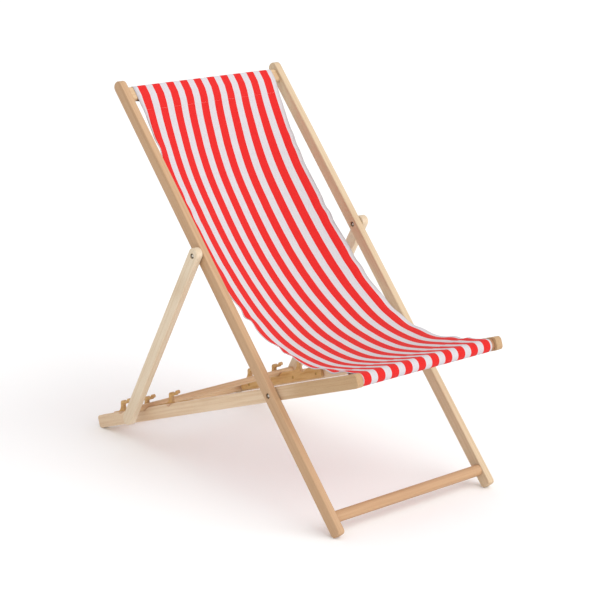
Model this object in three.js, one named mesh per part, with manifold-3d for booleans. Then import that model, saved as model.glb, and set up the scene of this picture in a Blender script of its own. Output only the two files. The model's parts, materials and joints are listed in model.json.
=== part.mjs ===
// Folding deck chair: a long back frame, a seat frame folded inside it, a prop frame with a round
// dowel that drops into one of three hooked seats, and a cloth sling hung between two bars.
// Millimetres, +Z up, the chair faces -Y, origin on the floor under the middle of its outline.
//
// The chair is drawn as a side view: x runs to the rear, y up and z across the width. Each frame has
// its own group, turned about its pivot, in which x runs along the rails and z stays the width.

import * as THREE from 'three';
import { mergeVertices } from 'three/addons/utils/BufferGeometryUtils.js';
import Module from 'manifold-3d';

const wasm = await Module();
wasm.setup();

// ---- driving dimensions -------------------------------------------------------------------------

const BOARD = 20; // thickness of every rail and strut, across the width
const SIDE_GAP = 2; // room for a washer between two boards
const EDGE = 2.6; // rounding of the boards' long edges
const FIT_GAP = 0.3; // gap between glued or screwed pieces

const BACK_ANGLE = 47.6; // lean of the back frame above the floor, degrees
const BACK_DEPTH = 31; // section of a back rail, seen from the side
const BACK_ABOVE = 881; // from the fold pivot to the top end
const BACK_BELOW = 370; // from the fold pivot to the foot
const BACK_OUTER = 266; // half width over the back rails
const FOOT_RADIUS = 9;

const SEAT_DEPTH = 33;
const SEAT_REAR = 729; // from the fold pivot to the rear end on the floor
const SEAT_FRONT = 292; // from the fold pivot to the front end
const SEAT_REAR_RADIUS = 8;
const SEAT_FRONT_RADIUS = 10;

const PROP_PIVOT = 387; // up the back rail from the fold pivot
const PROP_DEPTH = 31;
const PROP_ABOVE = 20; // strut beyond its pivot
const PROP_BELOW = 45; // strut beyond the dowel

const TOP_BAR_AT = 843;
const TOP_BAR_WIDTH = 36;
const TOP_BAR_THICK = 16;
const TOP_BAR_EDGE = 6;
const BOTTOM_BAR_AT = 325;
const BOTTOM_BAR_RADIUS = 14;
const FRONT_BAR_AT = 271;
const FRONT_BAR_RADIUS = 15;
const REAR_BAR_AT = 700;
const REAR_BAR_DROP = 5;
const REAR_BAR_RADIUS = 9;
const TENON_LENGTH = 12;
const THICK_TENON = 9; // radius of the tenons on the bottom and front bars
const THIN_TENON = 6; // and on the top and rear bars
const BAR_CHAMFER = 1;

const DOWEL_RADIUS = 8;
const SEAT_NOTCHES = [416, 521, 626]; // dowel seats behind the fold pivot, the middle one in use
const USED_NOTCH = 521;
const DOWEL_LIFT = 19; // dowel's centre above the seat rail's centre line
const NOTCH_RADIUS = 8.8;
const NOTCH_RAMP = 24; // run of the slope that leads the dowel in

const RACK_THICK = 9;
const RACK_FRONT = 345;
const RACK_REAR = 683;
const RACK_BOTTOM = -12;
const RACK_TOP = 18.5;
const RACK_CORNER = 5;
const HOOK_TOP = 44;
const KNOB_RADIUS = 4.6;
const KNOB_AHEAD = 17.5; // knob's centre in front of the dowel
const KNOB_HEIGHT = 41.5;
// A hook's curves as control point and end, along the rail from the dowel and above the rail's
// centre line: up the leg and under the arm to the knob, then back over the arm to the heel.
const HOOK_UNDERSIDE = [
  [8.8, 24, 8.8, 27], [8.6, 34.6, 2, 35], [-4, 34.2, -9, 34.2], [-12, 34.6, -14.8, 37.8],
];
const HOOK_BACK = [
  [-10.5, 40, -6, 40], [-1.5, 40, 1, 42], [3.5, 44, 8, 44], [15, 44, 17, 36], [19, 27, 24.5, 22.5],
  [28.5, 18.8, 36, 18.5],
];
const RACK_SCREWS = [365, 460, 554, 648];

const SLEEVE_RADIUS = 4;
const SHANK_RADIUS = 2.9;
const PIVOT_HOLE = 4.3;
const COUNTERBORE_RADIUS = 6.8;
const COUNTERBORE_DEPTH = 4.6;
const FLANGE_RADIUS = 6.2;
const HEAD_RADIUS = 3.7;
const HEAD_HEIGHT = 2.6;
const WASHER_RADIUS = 10;
const WASHER_THICK = 1.4;

const HEAD_INSET = 0.8; // heads below the board's face
const FLANGE_THICK = 1.2;
const SLEEVE_SHORT = 8; // sleeve and shank end this far short of the far board's face

const SCREW_RADIUS = 1.8;
const SCREW_HEAD = 3.7;
const SCREW_LENGTH = 24;
const SCREW_TAPER = 2.6; // depth of the countersunk head
const SCREW_POINT = 3;
const HEAD_LAND = 0.5; // straight rim of the countersunk head

const CLOTH_WIDTH = 436;
const CLOTH_THICK = 2;
const CASING_GAP = 0.4; // between a bar and the sewn casing round it
const CLOTH_LEAVES = 13.7; // angle the cloth turns through over the top bar's lower edge, degrees
const CLOTH_LEAD = 26; // straight run of cloth below that edge, along the back rail
const CLOTH_LANDS = 78; // where the cloth meets the front bar, degrees round from the rear
const CLOTH_STEPS = 44; // quads along the open cloth
const CLOTH_COLUMNS = 10; // and across it
// The sag of the cloth's edges, as points to the rear of and above the fold pivot.
const SLING_SAG = [
  [515, 550], [443, 440], [370, 355], [292, 275], [210, 200],
  [145, 150], [70, 107], [0, 85], [-80, 80], [-170, 96],
];
// The cloth is also hollow across: how far its middle hangs behind its edges, by the run from the
// top bar as a share of the whole open run.
const SLING_HOLLOW = [
  [0, 0], [0.02, 0.5], [0.08, 11.8], [0.14, 20.9], [0.2, 26.3], [0.26, 30.3], [0.32, 33.4],
  [0.38, 35.3], [0.44, 35.7], [0.5, 33.6], [0.56, 28.5], [0.62, 21.9], [0.68, 15.8], [0.74, 8.7],
  [0.8, 6.6], [0.86, 6], [0.92, 5], [0.98, 1.5], [1, 0],
];

// ---- what follows from them ---------------------------------------------------------------------

const BACK_INNER = BACK_OUTER - BOARD;
const SEAT_OUTER = BACK_INNER - SIDE_GAP;
const SEAT_INNER = SEAT_OUTER - BOARD;
const PROP_INNER = BACK_OUTER + SIDE_GAP;
const PROP_OUTER = PROP_INNER + BOARD;
const backTurn = THREE.MathUtils.degToRad(BACK_ANGLE);

// The foot's lower corner touches the floor, which gives the fold pivot's height.
const pivotHeight =
  (BACK_BELOW - FOOT_RADIUS) * Math.sin(backTurn) +
  (BACK_DEPTH / 2 - FOOT_RADIUS) * Math.cos(backTurn) +
  FOOT_RADIUS;

// The seat frame leans until the round lower corner of its rear end touches the floor too.
const cornerRun = SEAT_REAR - SEAT_REAR_RADIUS;
const cornerDrop = SEAT_DEPTH / 2 - SEAT_REAR_RADIUS;
const cornerReach = Math.hypot(cornerRun, cornerDrop);
const seatTurn =
  Math.asin((pivotHeight - SEAT_REAR_RADIUS) / cornerReach) - Math.atan2(cornerDrop, cornerRun);

const foldPivot = new THREE.Vector2(0, pivotHeight);
const propPivot = new THREE.Vector2(PROP_PIVOT, 0).rotateAround(new THREE.Vector2(), backTurn);
propPivot.add(foldPivot);
const dowelPlace = new THREE.Vector2(USED_NOTCH, DOWEL_LIFT);
dowelPlace.rotateAround(new THREE.Vector2(), -seatTurn).add(foldPivot);
const strutRun = dowelPlace.clone().sub(propPivot);
const strutSpan = strutRun.length();
const propTurn = strutRun.angle();

// ---- finishes -----------------------------------------------------------------------------------

const finish = (color, roughness, metalness) => () =>
  new THREE.MeshStandardMaterial({ color, roughness, metalness });
const beech = finish(0xd6b085, 0.55, 0);
const paleBeech = finish(0xdec09a, 0.55, 0);
const plywood = finish(0xd1a96e, 0.6, 0);
const zincSteel = finish(0xb9b4a8, 0.35, 1);
const brassSteel = finish(0xb08d4f, 0.4, 1);
const stripedCanvas = finish(0xe23a34, 0.9, 0);

// ---- solids -------------------------------------------------------------------------------------

/** Turns a closed three.js geometry into a solid that can be cut and joined. */
function toSolid(geometry) {
  const plain = geometry.index ? geometry.toNonIndexed() : geometry.clone();
  for (const name of Object.keys(plain.attributes)) {
    if (name !== 'position') plain.deleteAttribute(name);
  }
  const merged = mergeVertices(plain, 1e-4);
  return new wasm.Manifold(new wasm.Mesh({
    numProp: 3,
    vertProperties: new Float32Array(merged.attributes.position.array),
    triVerts: new Uint32Array(merged.index.array),
  }));
}

/** Turns a cut or joined solid back into a geometry with flat faces. */
function toGeometry(solid) {
  const mesh = solid.getMesh();
  const geometry = new THREE.BufferGeometry();
  geometry.setAttribute('position', new THREE.BufferAttribute(mesh.vertProperties.slice(), 3));
  geometry.setIndex(new THREE.BufferAttribute(mesh.triVerts.slice(), 1));
  const flat = geometry.toNonIndexed();
  flat.computeVertexNormals();
  return flat;
}

/** Cuts every tool out of a body. */
function cut(body, tools) {
  let solid = toSolid(body);
  for (const tool of tools) solid = solid.subtract(toSolid(tool));
  return toGeometry(solid);
}

/** Joins closed geometries into one solid. */
function join(pieces) {
  let solid = toSolid(pieces[0]);
  for (const piece of pieces.slice(1)) solid = solid.add(toSolid(piece));
  return toGeometry(solid);
}

/** A plate of a given outline, centred on z, with its outer edges rounded. */
function roundedPlate(shape, thickness, rounding, curveSegments = 3) {
  const geometry = new THREE.ExtrudeGeometry(shape, {
    depth: thickness - 2 * rounding,
    bevelEnabled: rounding > 0,
    bevelThickness: rounding,
    bevelSize: rounding,
    bevelOffset: -rounding,
    bevelSegments: 2,
    curveSegments,
  });
  geometry.translate(0, 0, rounding - thickness / 2);
  return geometry;
}

/** A board's side outline from x0 to x1, with its own corner radius at each end. */
function boardOutline(x0, x1, depth, radius0, radius1) {
  const half = depth / 2;
  const outline = new THREE.Shape();
  outline.absarc(x0 + radius0, -half + radius0, radius0, Math.PI, 1.5 * Math.PI);
  outline.absarc(x1 - radius1, -half + radius1, radius1, 1.5 * Math.PI, 2 * Math.PI);
  outline.absarc(x1 - radius1, half - radius1, radius1, 0, 0.5 * Math.PI);
  outline.absarc(x0 + radius0, half - radius0, radius0, 0.5 * Math.PI, Math.PI);
  return outline;
}

/** A round tool or pin along z between two widths. */
function roundAlongZ(radius, z0, z1, x = 0, y = 0, segments = 16) {
  const geometry = new THREE.CylinderGeometry(radius, radius, Math.abs(z1 - z0), segments);
  geometry.rotateX(Math.PI / 2);
  geometry.translate(x, y, (z0 + z1) / 2);
  return geometry;
}

/** A solid of revolution about z from [radius, z] points that start and end on the axis. */
function turned(points, segments = 16) {
  const profile = points.map(([radius, z]) => new THREE.Vector2(radius, z));
  const geometry = new THREE.LatheGeometry(profile, segments);
  geometry.rotateX(Math.PI / 2);
  return geometry;
}

/** A round bar across the width, stepped down to a tenon at each end. */
function tenonedRod(radius, halfLength, tenonRadius) {
  const end = halfLength + TENON_LENGTH;
  return turned([
    [0, -end], [tenonRadius - BAR_CHAMFER, -end], [tenonRadius, -end + BAR_CHAMFER],
    [tenonRadius, -halfLength], [radius - BAR_CHAMFER, -halfLength],
    [radius, -halfLength + BAR_CHAMFER], [radius, halfLength - BAR_CHAMFER],
    [radius - BAR_CHAMFER, halfLength], [tenonRadius, halfLength],
    [tenonRadius, end - BAR_CHAMFER], [tenonRadius - BAR_CHAMFER, end], [0, end],
  ], 20);
}

/** A blind hole for a tenon, cut from a board's face at one width into the board. */
function tenonHole(radius, face, side, x, y = 0) {
  const bottom = face + side * (TENON_LENGTH + FIT_GAP);
  return roundAlongZ(radius + FIT_GAP, face - side, bottom, x, y, 20);
}

/** The recess and through hole for a pivot, with the recess on the named face of the board. */
function pivotHole(recessFace, farFace, x) {
  const inward = Math.sign(farFace - recessFace);
  return [
    roundAlongZ(PIVOT_HOLE, recessFace - inward, farFace + inward, x),
    roundAlongZ(COUNTERBORE_RADIUS, recessFace - inward, recessFace + inward * COUNTERBORE_DEPTH, x),
  ];
}

// ---- pieces of the seat rack --------------------------------------------------------------------

/** The cut that leads the dowel down a ramp into a round seat, open at the top. */
function notchOutline(seat, top) {
  const start = THREE.MathUtils.degToRad(225);
  const outline = new THREE.Shape();
  outline.moveTo(seat - NOTCH_RAMP, top);
  outline.lineTo(seat - NOTCH_RAMP, RACK_TOP);
  outline.absarc(seat, DOWEL_LIFT, NOTCH_RADIUS, start, 2 * Math.PI);
  outline.lineTo(seat + NOTCH_RADIUS, top);
  return outline;
}

/** One hook of the rack's outline: ramp, dowel seat, leg, overhanging arm and round knob. */
function addHook(outline, seat) {
  const start = THREE.MathUtils.degToRad(225);
  const knobFrom = THREE.MathUtils.degToRad(306);
  const knobTo = THREE.MathUtils.degToRad(20);
  outline.lineTo(seat - NOTCH_RAMP, RACK_TOP);
  outline.absarc(seat, DOWEL_LIFT, NOTCH_RADIUS, start, 2 * Math.PI);
  for (const [controlS, controlN, s, n] of HOOK_UNDERSIDE) {
    outline.quadraticCurveTo(seat + controlS, controlN, seat + s, n);
  }
  outline.absarc(seat - KNOB_AHEAD, KNOB_HEIGHT, KNOB_RADIUS, knobFrom, knobTo, true);
  for (const [controlS, controlN, s, n] of HOOK_BACK) {
    outline.quadraticCurveTo(seat + controlS, controlN, seat + s, n);
  }
}

/** The rack's side outline: a plain lower edge and three hooks along the top. */
function rackOutline() {
  const r = RACK_CORNER;
  const outline = new THREE.Shape();
  outline.absarc(RACK_FRONT + r, RACK_BOTTOM + r, r, 1.5 * Math.PI, Math.PI, true);
  outline.absarc(RACK_FRONT + r, RACK_TOP - r, r, Math.PI, 0.5 * Math.PI, true);
  for (const seat of SEAT_NOTCHES) addHook(outline, seat);
  outline.absarc(RACK_REAR - r, RACK_TOP - r, r, 0.5 * Math.PI, 0, true);
  outline.absarc(RACK_REAR - r, RACK_BOTTOM + r, r, 0, -0.5 * Math.PI, true);
  return outline;
}

// ---- the sling ----------------------------------------------------------------------------------

/** A closed loop of points round a flat bar with rounded edges, seen from the side. */
function flatBarLoop(width, thick, radius, grow) {
  const loop = boardOutline(-width / 2 - grow, width / 2 + grow, thick + 2 * grow,
    radius + grow, radius + grow);
  return loop.getPoints(3);
}

/** A casing: a tube of cloth whose inner loop clears the bar and whose outer loop is a cloth thicker. */
function casing(outer, inner) {
  const ring = new THREE.Shape(outer);
  ring.holes.push(new THREE.Path(inner));
  return extrudeCloth(ring);
}

/** Extrudes an outline across the cloth's whole width. */
function extrudeCloth(shape) {
  const geometry = new THREE.ExtrudeGeometry(shape, {
    depth: CLOTH_WIDTH, bevelEnabled: false, curveSegments: 24,
  });
  geometry.translate(0, 0, -CLOTH_WIDTH / 2);
  return geometry;
}

/** How far the cloth hangs behind its edges at a share of its run and a width across. */
function hollowAt(share, width) {
  const next = Math.max(1, SLING_HOLLOW.findIndex(([run]) => run >= share));
  const [run0, depth0] = SLING_HOLLOW[next - 1];
  const [run1, depth1] = SLING_HOLLOW[next];
  const depth = THREE.MathUtils.mapLinear(share, run0, run1, depth0, depth1);
  return depth * (1 - (2 * width / CLOTH_WIDTH) ** 2);
}

/** The open cloth: a closed sheet along a curve in the side view, hollow across its width. */
function openCloth(points) {
  const curve = new THREE.SplineCurve(points);
  const vertices = [];
  const triangles = [];
  const row = CLOTH_COLUMNS + 1;
  const layer = (CLOTH_STEPS + 1) * row;
  const at = (i, j, back) => (back ? 0 : layer) + i * row + j;
  for (const half of [CLOTH_THICK / 2, -CLOTH_THICK / 2]) {
    for (let i = 0; i <= CLOTH_STEPS; i += 1) {
      const share = i / CLOTH_STEPS;
      const edge = curve.getPointAt(share);
      const along = curve.getTangentAt(share);
      for (let j = 0; j <= CLOTH_COLUMNS; j += 1) {
        const width = CLOTH_WIDTH * (j / CLOTH_COLUMNS - 0.5);
        const off = hollowAt(share, width) + half;
        vertices.push(edge.x - along.y * off, edge.y + along.x * off, width);
      }
    }
  }
  for (let i = 0; i < CLOTH_STEPS; i += 1) {
    for (let j = 0; j < CLOTH_COLUMNS; j += 1) {
      for (const back of [true, false]) {
        const [a, b] = [at(i, j, back), at(i, j + 1, back)];
        const [c, d] = [at(i + 1, j + 1, back), at(i + 1, j, back)];
        triangles.push(...(back ? [a, b, c, a, c, d] : [a, c, b, a, d, c]));
      }
    }
  }
  const rim = [];
  for (let j = 0; j < CLOTH_COLUMNS; j += 1) rim.push([0, j]);
  for (let i = 0; i < CLOTH_STEPS; i += 1) rim.push([i, CLOTH_COLUMNS]);
  for (let j = CLOTH_COLUMNS; j > 0; j -= 1) rim.push([CLOTH_STEPS, j]);
  for (let i = CLOTH_STEPS; i > 0; i -= 1) rim.push([i, 0]);
  rim.forEach(([i, j], k) => {
    const [m, n] = rim[(k + 1) % rim.length];
    const [a, b] = [at(i, j, true), at(m, n, true)];
    const [c, d] = [at(i, j, false), at(m, n, false)];
    triangles.push(b, a, c, b, c, d);
  });
  const geometry = new THREE.BufferGeometry();
  geometry.setAttribute('position', new THREE.Float32BufferAttribute(vertices, 3));
  geometry.setIndex(triangles);
  return geometry;
}

/** The whole sling: a casing round the top bar, the sagging cloth and a casing round the front bar. */
function buildSling() {
  const turnBack = (x, y) => new THREE.Vector2(x, y).rotateAround(new THREE.Vector2(), backTurn);
  const turnSeat = (x, y) => new THREE.Vector2(x, y).rotateAround(new THREE.Vector2(), -seatTurn);
  const topCentre = turnBack(TOP_BAR_AT, 0);
  const frontCentre = turnSeat(-FRONT_BAR_AT, 0);
  const topLoop = (grow) => flatBarLoop(TOP_BAR_WIDTH, TOP_BAR_THICK, TOP_BAR_EDGE, grow)
    .map((p) => p.rotateAround(new THREE.Vector2(), backTurn).add(topCentre));
  const frontLoop = (radius) => new THREE.Path()
    .absarc(frontCentre.x, frontCentre.y, radius, 0, 2 * Math.PI).getPoints(12).slice(0, -1);
  const midWall = CASING_GAP + CLOTH_THICK / 2;
  const leave = THREE.MathUtils.degToRad(CLOTH_LEAVES);
  const edgeRadius = TOP_BAR_EDGE + midWall;
  const edgeX = TOP_BAR_AT - TOP_BAR_WIDTH / 2 + TOP_BAR_EDGE - edgeRadius * Math.sin(leave);
  const edgeY = TOP_BAR_THICK / 2 - TOP_BAR_EDGE + edgeRadius * Math.cos(leave);
  const start = turnBack(edgeX, edgeY);
  const follow = turnBack(edgeX - CLOTH_LEAD, edgeY - CLOTH_LEAD * Math.tan(leave));
  const landing = THREE.MathUtils.degToRad(CLOTH_LANDS);
  const ringMid = FRONT_BAR_RADIUS + midWall;
  const end = new THREE.Vector2(Math.cos(landing), Math.sin(landing));
  end.multiplyScalar(ringMid).add(frontCentre);
  const path = [start, follow, ...SLING_SAG.map(([x, y]) => new THREE.Vector2(x, y)), end];
  return join([
    casing(topLoop(CASING_GAP + CLOTH_THICK), topLoop(CASING_GAP)),
    openCloth(path),
    casing(
      frontLoop(FRONT_BAR_RADIUS + CASING_GAP + CLOTH_THICK),
      frontLoop(FRONT_BAR_RADIUS + CASING_GAP),
    ),
  ]);
}

// ---- assembly -----------------------------------------------------------------------------------

const chair = new THREE.Group();
const sideView = new THREE.Matrix4().makeBasis(
  new THREE.Vector3(0, 1, 0), new THREE.Vector3(0, 0, 1), new THREE.Vector3(1, 0, 0));
chair.quaternion.setFromRotationMatrix(sideView);

/** A frame's group, standing at its pivot and turned in the side view. */
function frameGroup(pivot, turn) {
  const group = new THREE.Group();
  group.position.set(pivot.x, pivot.y, 0);
  group.rotation.z = turn;
  chair.add(group);
  return group;
}

/** Adds one named piece to a group. */
function add(group, name, geometry, material) {
  const mesh = new THREE.Mesh(geometry, material());
  mesh.name = name;
  group.add(mesh);
  return mesh;
}

const back = frameGroup(foldPivot, backTurn);
const seat = frameGroup(foldPivot, -seatTurn);
const prop = frameGroup(propPivot, propTurn);
const SIDES = [['left', 1], ['right', -1]];

/** A pivot bolt: flange, domed head and shank, with its head's outer face at z = 0. */
function pivotBolt(reach) {
  return turned([
    [0, -reach], [SHANK_RADIUS, -reach], [SHANK_RADIUS, -FLANGE_THICK - HEAD_HEIGHT],
    [FLANGE_RADIUS, -FLANGE_THICK - HEAD_HEIGHT], [FLANGE_RADIUS, -HEAD_HEIGHT],
    [HEAD_RADIUS, -HEAD_HEIGHT], [HEAD_RADIUS * 0.87, -HEAD_HEIGHT * 0.45],
    [HEAD_RADIUS * 0.5, -HEAD_HEIGHT * 0.12], [0, 0],
  ]);
}

/** The sleeve nut that the bolt screws into: the same head on a tube that the boards turn on. */
function pivotSleeve(reach) {
  const bore = SHANK_RADIUS + FIT_GAP;
  const flangeEnd = HEAD_HEIGHT + FLANGE_THICK;
  return turned([
    [0, 0], [HEAD_RADIUS * 0.5, HEAD_HEIGHT * 0.12], [HEAD_RADIUS * 0.87, HEAD_HEIGHT * 0.45],
    [HEAD_RADIUS, HEAD_HEIGHT], [FLANGE_RADIUS, HEAD_HEIGHT], [FLANGE_RADIUS, flangeEnd],
    [SLEEVE_RADIUS, flangeEnd], [SLEEVE_RADIUS, reach], [bore, reach],
    [bore, flangeEnd + 1], [0, flangeEnd + 1],
  ]);
}

/** A flat washer about z = 0. */
function washer() {
  const ring = new THREE.Shape().absarc(0, 0, WASHER_RADIUS, 0, 2 * Math.PI);
  ring.holes.push(new THREE.Path().absarc(0, 0, SLEEVE_RADIUS + FIT_GAP, 0, 2 * Math.PI, true));
  return roundedPlate(ring, WASHER_THICK, 0, 10);
}

/** A countersunk rack screw pointing along +z, its flat head at z = 0. */
function rackScrew() {
  return turned([
    [0, 0], [SCREW_HEAD, 0], [SCREW_HEAD, HEAD_LAND], [SCREW_RADIUS, SCREW_TAPER],
    [SCREW_RADIUS, SCREW_LENGTH - SCREW_POINT], [0, SCREW_LENGTH],
  ], 10);
}

/** The hole a rack screw needs, from the rack's inner face outward. */
function screwHole(face, side, x) {
  const tool = turned([
    [0, -1], [SCREW_HEAD + FIT_GAP, -1], [SCREW_HEAD + FIT_GAP, HEAD_LAND + FIT_GAP],
    [SCREW_RADIUS + FIT_GAP, SCREW_TAPER + FIT_GAP],
    [SCREW_RADIUS + FIT_GAP, SCREW_LENGTH + 1], [0, SCREW_LENGTH + 1],
  ], 10);
  if (side < 0) tool.rotateX(Math.PI);
  tool.translate(x, 0, side * face);
  return tool;
}

const rackFace = SEAT_INNER - FIT_GAP - RACK_THICK;
const boltReach = 2 * BOARD + SIDE_GAP - SLEEVE_SHORT;

/** Adds the bolt, sleeve and washer of one pivot between an outer and an inner board face. */
function addPivot(group, name, x, outerFace, innerFace, side) {
  const bolt = add(group, `${name}_bolt`, pivotBolt(boltReach), zincSteel);
  bolt.position.set(x, 0, side * (outerFace - HEAD_INSET));
  const sleeve = add(group, `${name}_sleeve`, pivotSleeve(boltReach), zincSteel);
  sleeve.position.set(x, 0, side * (innerFace + HEAD_INSET));
  if (side < 0) bolt.rotation.x = Math.PI;
  if (side < 0) sleeve.rotation.x = Math.PI;
  const ring = add(group, `${name}_washer`, washer(), zincSteel);
  ring.position.set(x, 0, (side * (outerFace + innerFace)) / 2);
}

for (const [side, sign] of SIDES) {
  // Back rail: round top end, tenon holes inside, pivots through it.
  const backRail = roundedPlate(
    boardOutline(-BACK_BELOW, BACK_ABOVE, BACK_DEPTH, FOOT_RADIUS, BACK_DEPTH / 2 - 1), BOARD, EDGE);
  backRail.translate(0, 0, sign * (BACK_OUTER - BOARD / 2));
  add(back, `back_rail_${side}`, cut(backRail, [
    tenonHole(THIN_TENON, sign * BACK_INNER, sign, TOP_BAR_AT),
    tenonHole(THICK_TENON, sign * BACK_INNER, sign, -BOTTOM_BAR_AT),
    ...pivotHole(sign * BACK_OUTER, sign * BACK_INNER, 0),
    ...pivotHole(sign * BACK_INNER, sign * BACK_OUTER, PROP_PIVOT),
  ]), beech);

  // Seat rail: notched like the rack, drilled for its screws and bars.
  const seatRail = roundedPlate(
    boardOutline(-SEAT_FRONT, SEAT_REAR, SEAT_DEPTH, SEAT_FRONT_RADIUS, SEAT_REAR_RADIUS), BOARD, EDGE);
  seatRail.translate(0, 0, sign * (SEAT_OUTER - BOARD / 2));
  const notches = SEAT_NOTCHES.map((at) => {
    const tool = roundedPlate(notchOutline(at, HOOK_TOP), BOARD + 4, 0, 3);
    tool.translate(0, 0, sign * (SEAT_OUTER - BOARD / 2));
    return tool;
  });
  add(seat, `seat_rail_${side}`, cut(seatRail, [
    tenonHole(THICK_TENON, sign * SEAT_INNER, sign, -FRONT_BAR_AT),
    tenonHole(THIN_TENON, sign * SEAT_INNER, sign, REAR_BAR_AT, -REAR_BAR_DROP),
    ...pivotHole(sign * SEAT_INNER, sign * SEAT_OUTER, 0),
    ...RACK_SCREWS.map((at) => screwHole(rackFace, sign, at)),
    ...notches,
  ]), beech);

  // Hooked rack on the inner face of the seat rail.
  const rack = roundedPlate(rackOutline(), RACK_THICK, 0, 3);
  rack.translate(0, 0, sign * (rackFace + RACK_THICK / 2));
  add(seat, `rack_${side}`, cut(rack, RACK_SCREWS.map((at) => screwHole(rackFace, sign, at))), plywood);
  RACK_SCREWS.forEach((at, i) => {
    const screw = add(seat, `rack_screw_${side}_${i + 1}`, rackScrew(), brassSteel);
    screw.position.set(at, 0, sign * (rackFace + FIT_GAP));
    if (sign < 0) screw.rotation.x = Math.PI;
  });

  // Prop strut: outermost, from the pivot on the back rail down past the dowel.
  const strut = roundedPlate(boardOutline(
    -PROP_ABOVE, strutSpan + PROP_BELOW, PROP_DEPTH, PROP_DEPTH / 2 - 0.5, PROP_DEPTH / 2 - 0.5),
  BOARD, EDGE);
  strut.translate(0, 0, sign * (PROP_OUTER - BOARD / 2));
  add(prop, `prop_strut_${side}`, cut(strut, [
    ...pivotHole(sign * PROP_OUTER, sign * PROP_INNER, 0),
    tenonHole(DOWEL_RADIUS, sign * PROP_INNER, sign, strutSpan),
  ]), paleBeech);

  addPivot(back, `fold_pivot_${side}`, 0, BACK_OUTER, SEAT_INNER, sign);
  addPivot(back, `prop_pivot_${side}`, PROP_PIVOT, PROP_OUTER, BACK_INNER, sign);
}

// Bars of the back frame.
const topBarHalf = BACK_INNER - FIT_GAP;
const topBarOutline = boardOutline(
  -TOP_BAR_WIDTH / 2, TOP_BAR_WIDTH / 2, TOP_BAR_THICK, TOP_BAR_EDGE, TOP_BAR_EDGE);
const topTenons = roundAlongZ(
  THIN_TENON, -topBarHalf - TENON_LENGTH, topBarHalf + TENON_LENGTH, 0, 0, 20);
const topBar = add(
  back, 'top_bar', join([roundedPlate(topBarOutline, 2 * topBarHalf, 0, 6), topTenons]), beech);
topBar.position.x = TOP_BAR_AT;
const bottomBar = add(
  back, 'bottom_bar',
  tenonedRod(BOTTOM_BAR_RADIUS, BACK_INNER - FIT_GAP, THICK_TENON), beech);
bottomBar.position.x = -BOTTOM_BAR_AT;

// Bars of the seat frame.
const frontBar = add(
  seat, 'front_bar', tenonedRod(FRONT_BAR_RADIUS, SEAT_INNER - FIT_GAP, THICK_TENON), beech);
frontBar.position.x = -FRONT_BAR_AT;
const rearBar = add(
  seat, 'rear_bar', tenonedRod(REAR_BAR_RADIUS, SEAT_INNER - FIT_GAP, THIN_TENON), beech);
rearBar.position.set(REAR_BAR_AT, -REAR_BAR_DROP, 0);

// The prop's dowel, plugged into both struts.
const dowelEnd = PROP_INNER + TENON_LENGTH - FIT_GAP;
const dowel = add(prop, 'prop_dowel', turned([
  [0, -dowelEnd], [DOWEL_RADIUS - BAR_CHAMFER, -dowelEnd], [DOWEL_RADIUS, BAR_CHAMFER - dowelEnd],
  [DOWEL_RADIUS, dowelEnd - BAR_CHAMFER], [DOWEL_RADIUS - BAR_CHAMFER, dowelEnd], [0, dowelEnd],
], 28), beech);
dowel.position.x = strutSpan;

// The sling hangs in the side view's own directions, about the fold pivot.
const slingHolder = frameGroup(foldPivot, 0);
add(slingHolder, 'sling', buildSling(), stripedCanvas);

// Centre the outline over the origin, so that the feet stand at z = 0.
const outlineBox = new THREE.Box3().setFromObject(chair, true);
chair.position.set(0, -(outlineBox.min.y + outlineBox.max.y) / 2, -outlineBox.min.z);

const part = new THREE.Group();
part.add(chair);

export default part;
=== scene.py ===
"""Looks of a folding deck chair: beech boards, plywood racks, steel pivots and a canvas sling.

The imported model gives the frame. Every piece is built here in mesh code, in its own frame's
directions: s along the rails, n square to them and w across the chair. It then stands for the
plain solid of the same name and rides on the same body. Sizes are in millimetres, and meshes,
lights and the camera are in metres.
"""

from __future__ import annotations

import json
import logging
import math
from dataclasses import dataclass, field
from enum import Enum
from typing import Iterable, Sequence

import bmesh
import bpy
from mathutils import Matrix, Vector, noise

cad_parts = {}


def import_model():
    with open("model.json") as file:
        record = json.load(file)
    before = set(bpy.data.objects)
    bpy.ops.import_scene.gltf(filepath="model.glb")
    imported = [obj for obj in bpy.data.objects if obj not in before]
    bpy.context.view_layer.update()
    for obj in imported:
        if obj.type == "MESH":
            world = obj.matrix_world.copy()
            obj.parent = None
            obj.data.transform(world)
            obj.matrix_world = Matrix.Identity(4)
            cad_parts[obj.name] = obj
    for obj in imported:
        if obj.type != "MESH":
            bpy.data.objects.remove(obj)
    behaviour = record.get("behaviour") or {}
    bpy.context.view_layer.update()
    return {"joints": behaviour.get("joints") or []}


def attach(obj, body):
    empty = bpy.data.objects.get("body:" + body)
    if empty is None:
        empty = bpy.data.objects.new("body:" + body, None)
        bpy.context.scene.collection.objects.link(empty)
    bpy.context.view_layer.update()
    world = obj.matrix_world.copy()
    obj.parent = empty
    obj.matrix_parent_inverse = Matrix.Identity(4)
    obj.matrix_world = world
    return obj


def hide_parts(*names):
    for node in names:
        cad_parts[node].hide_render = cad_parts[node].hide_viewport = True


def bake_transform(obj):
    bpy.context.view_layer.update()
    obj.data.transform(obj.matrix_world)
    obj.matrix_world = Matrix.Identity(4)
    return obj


log = logging.getLogger("deck_chair")

Point2 = tuple[float, float]
Colour = tuple[float, float, float, float]
MM = 0.001
BOARD = 20.0  # thickness of every rail and strut
FIT_GAP = 0.3  # between pieces that are glued or screwed together
# The studio is lit a little above white, so wood and cloth are a little darker than their hex.
TONE = (0.9, 0.9, 0.9, 1.0)


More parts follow.
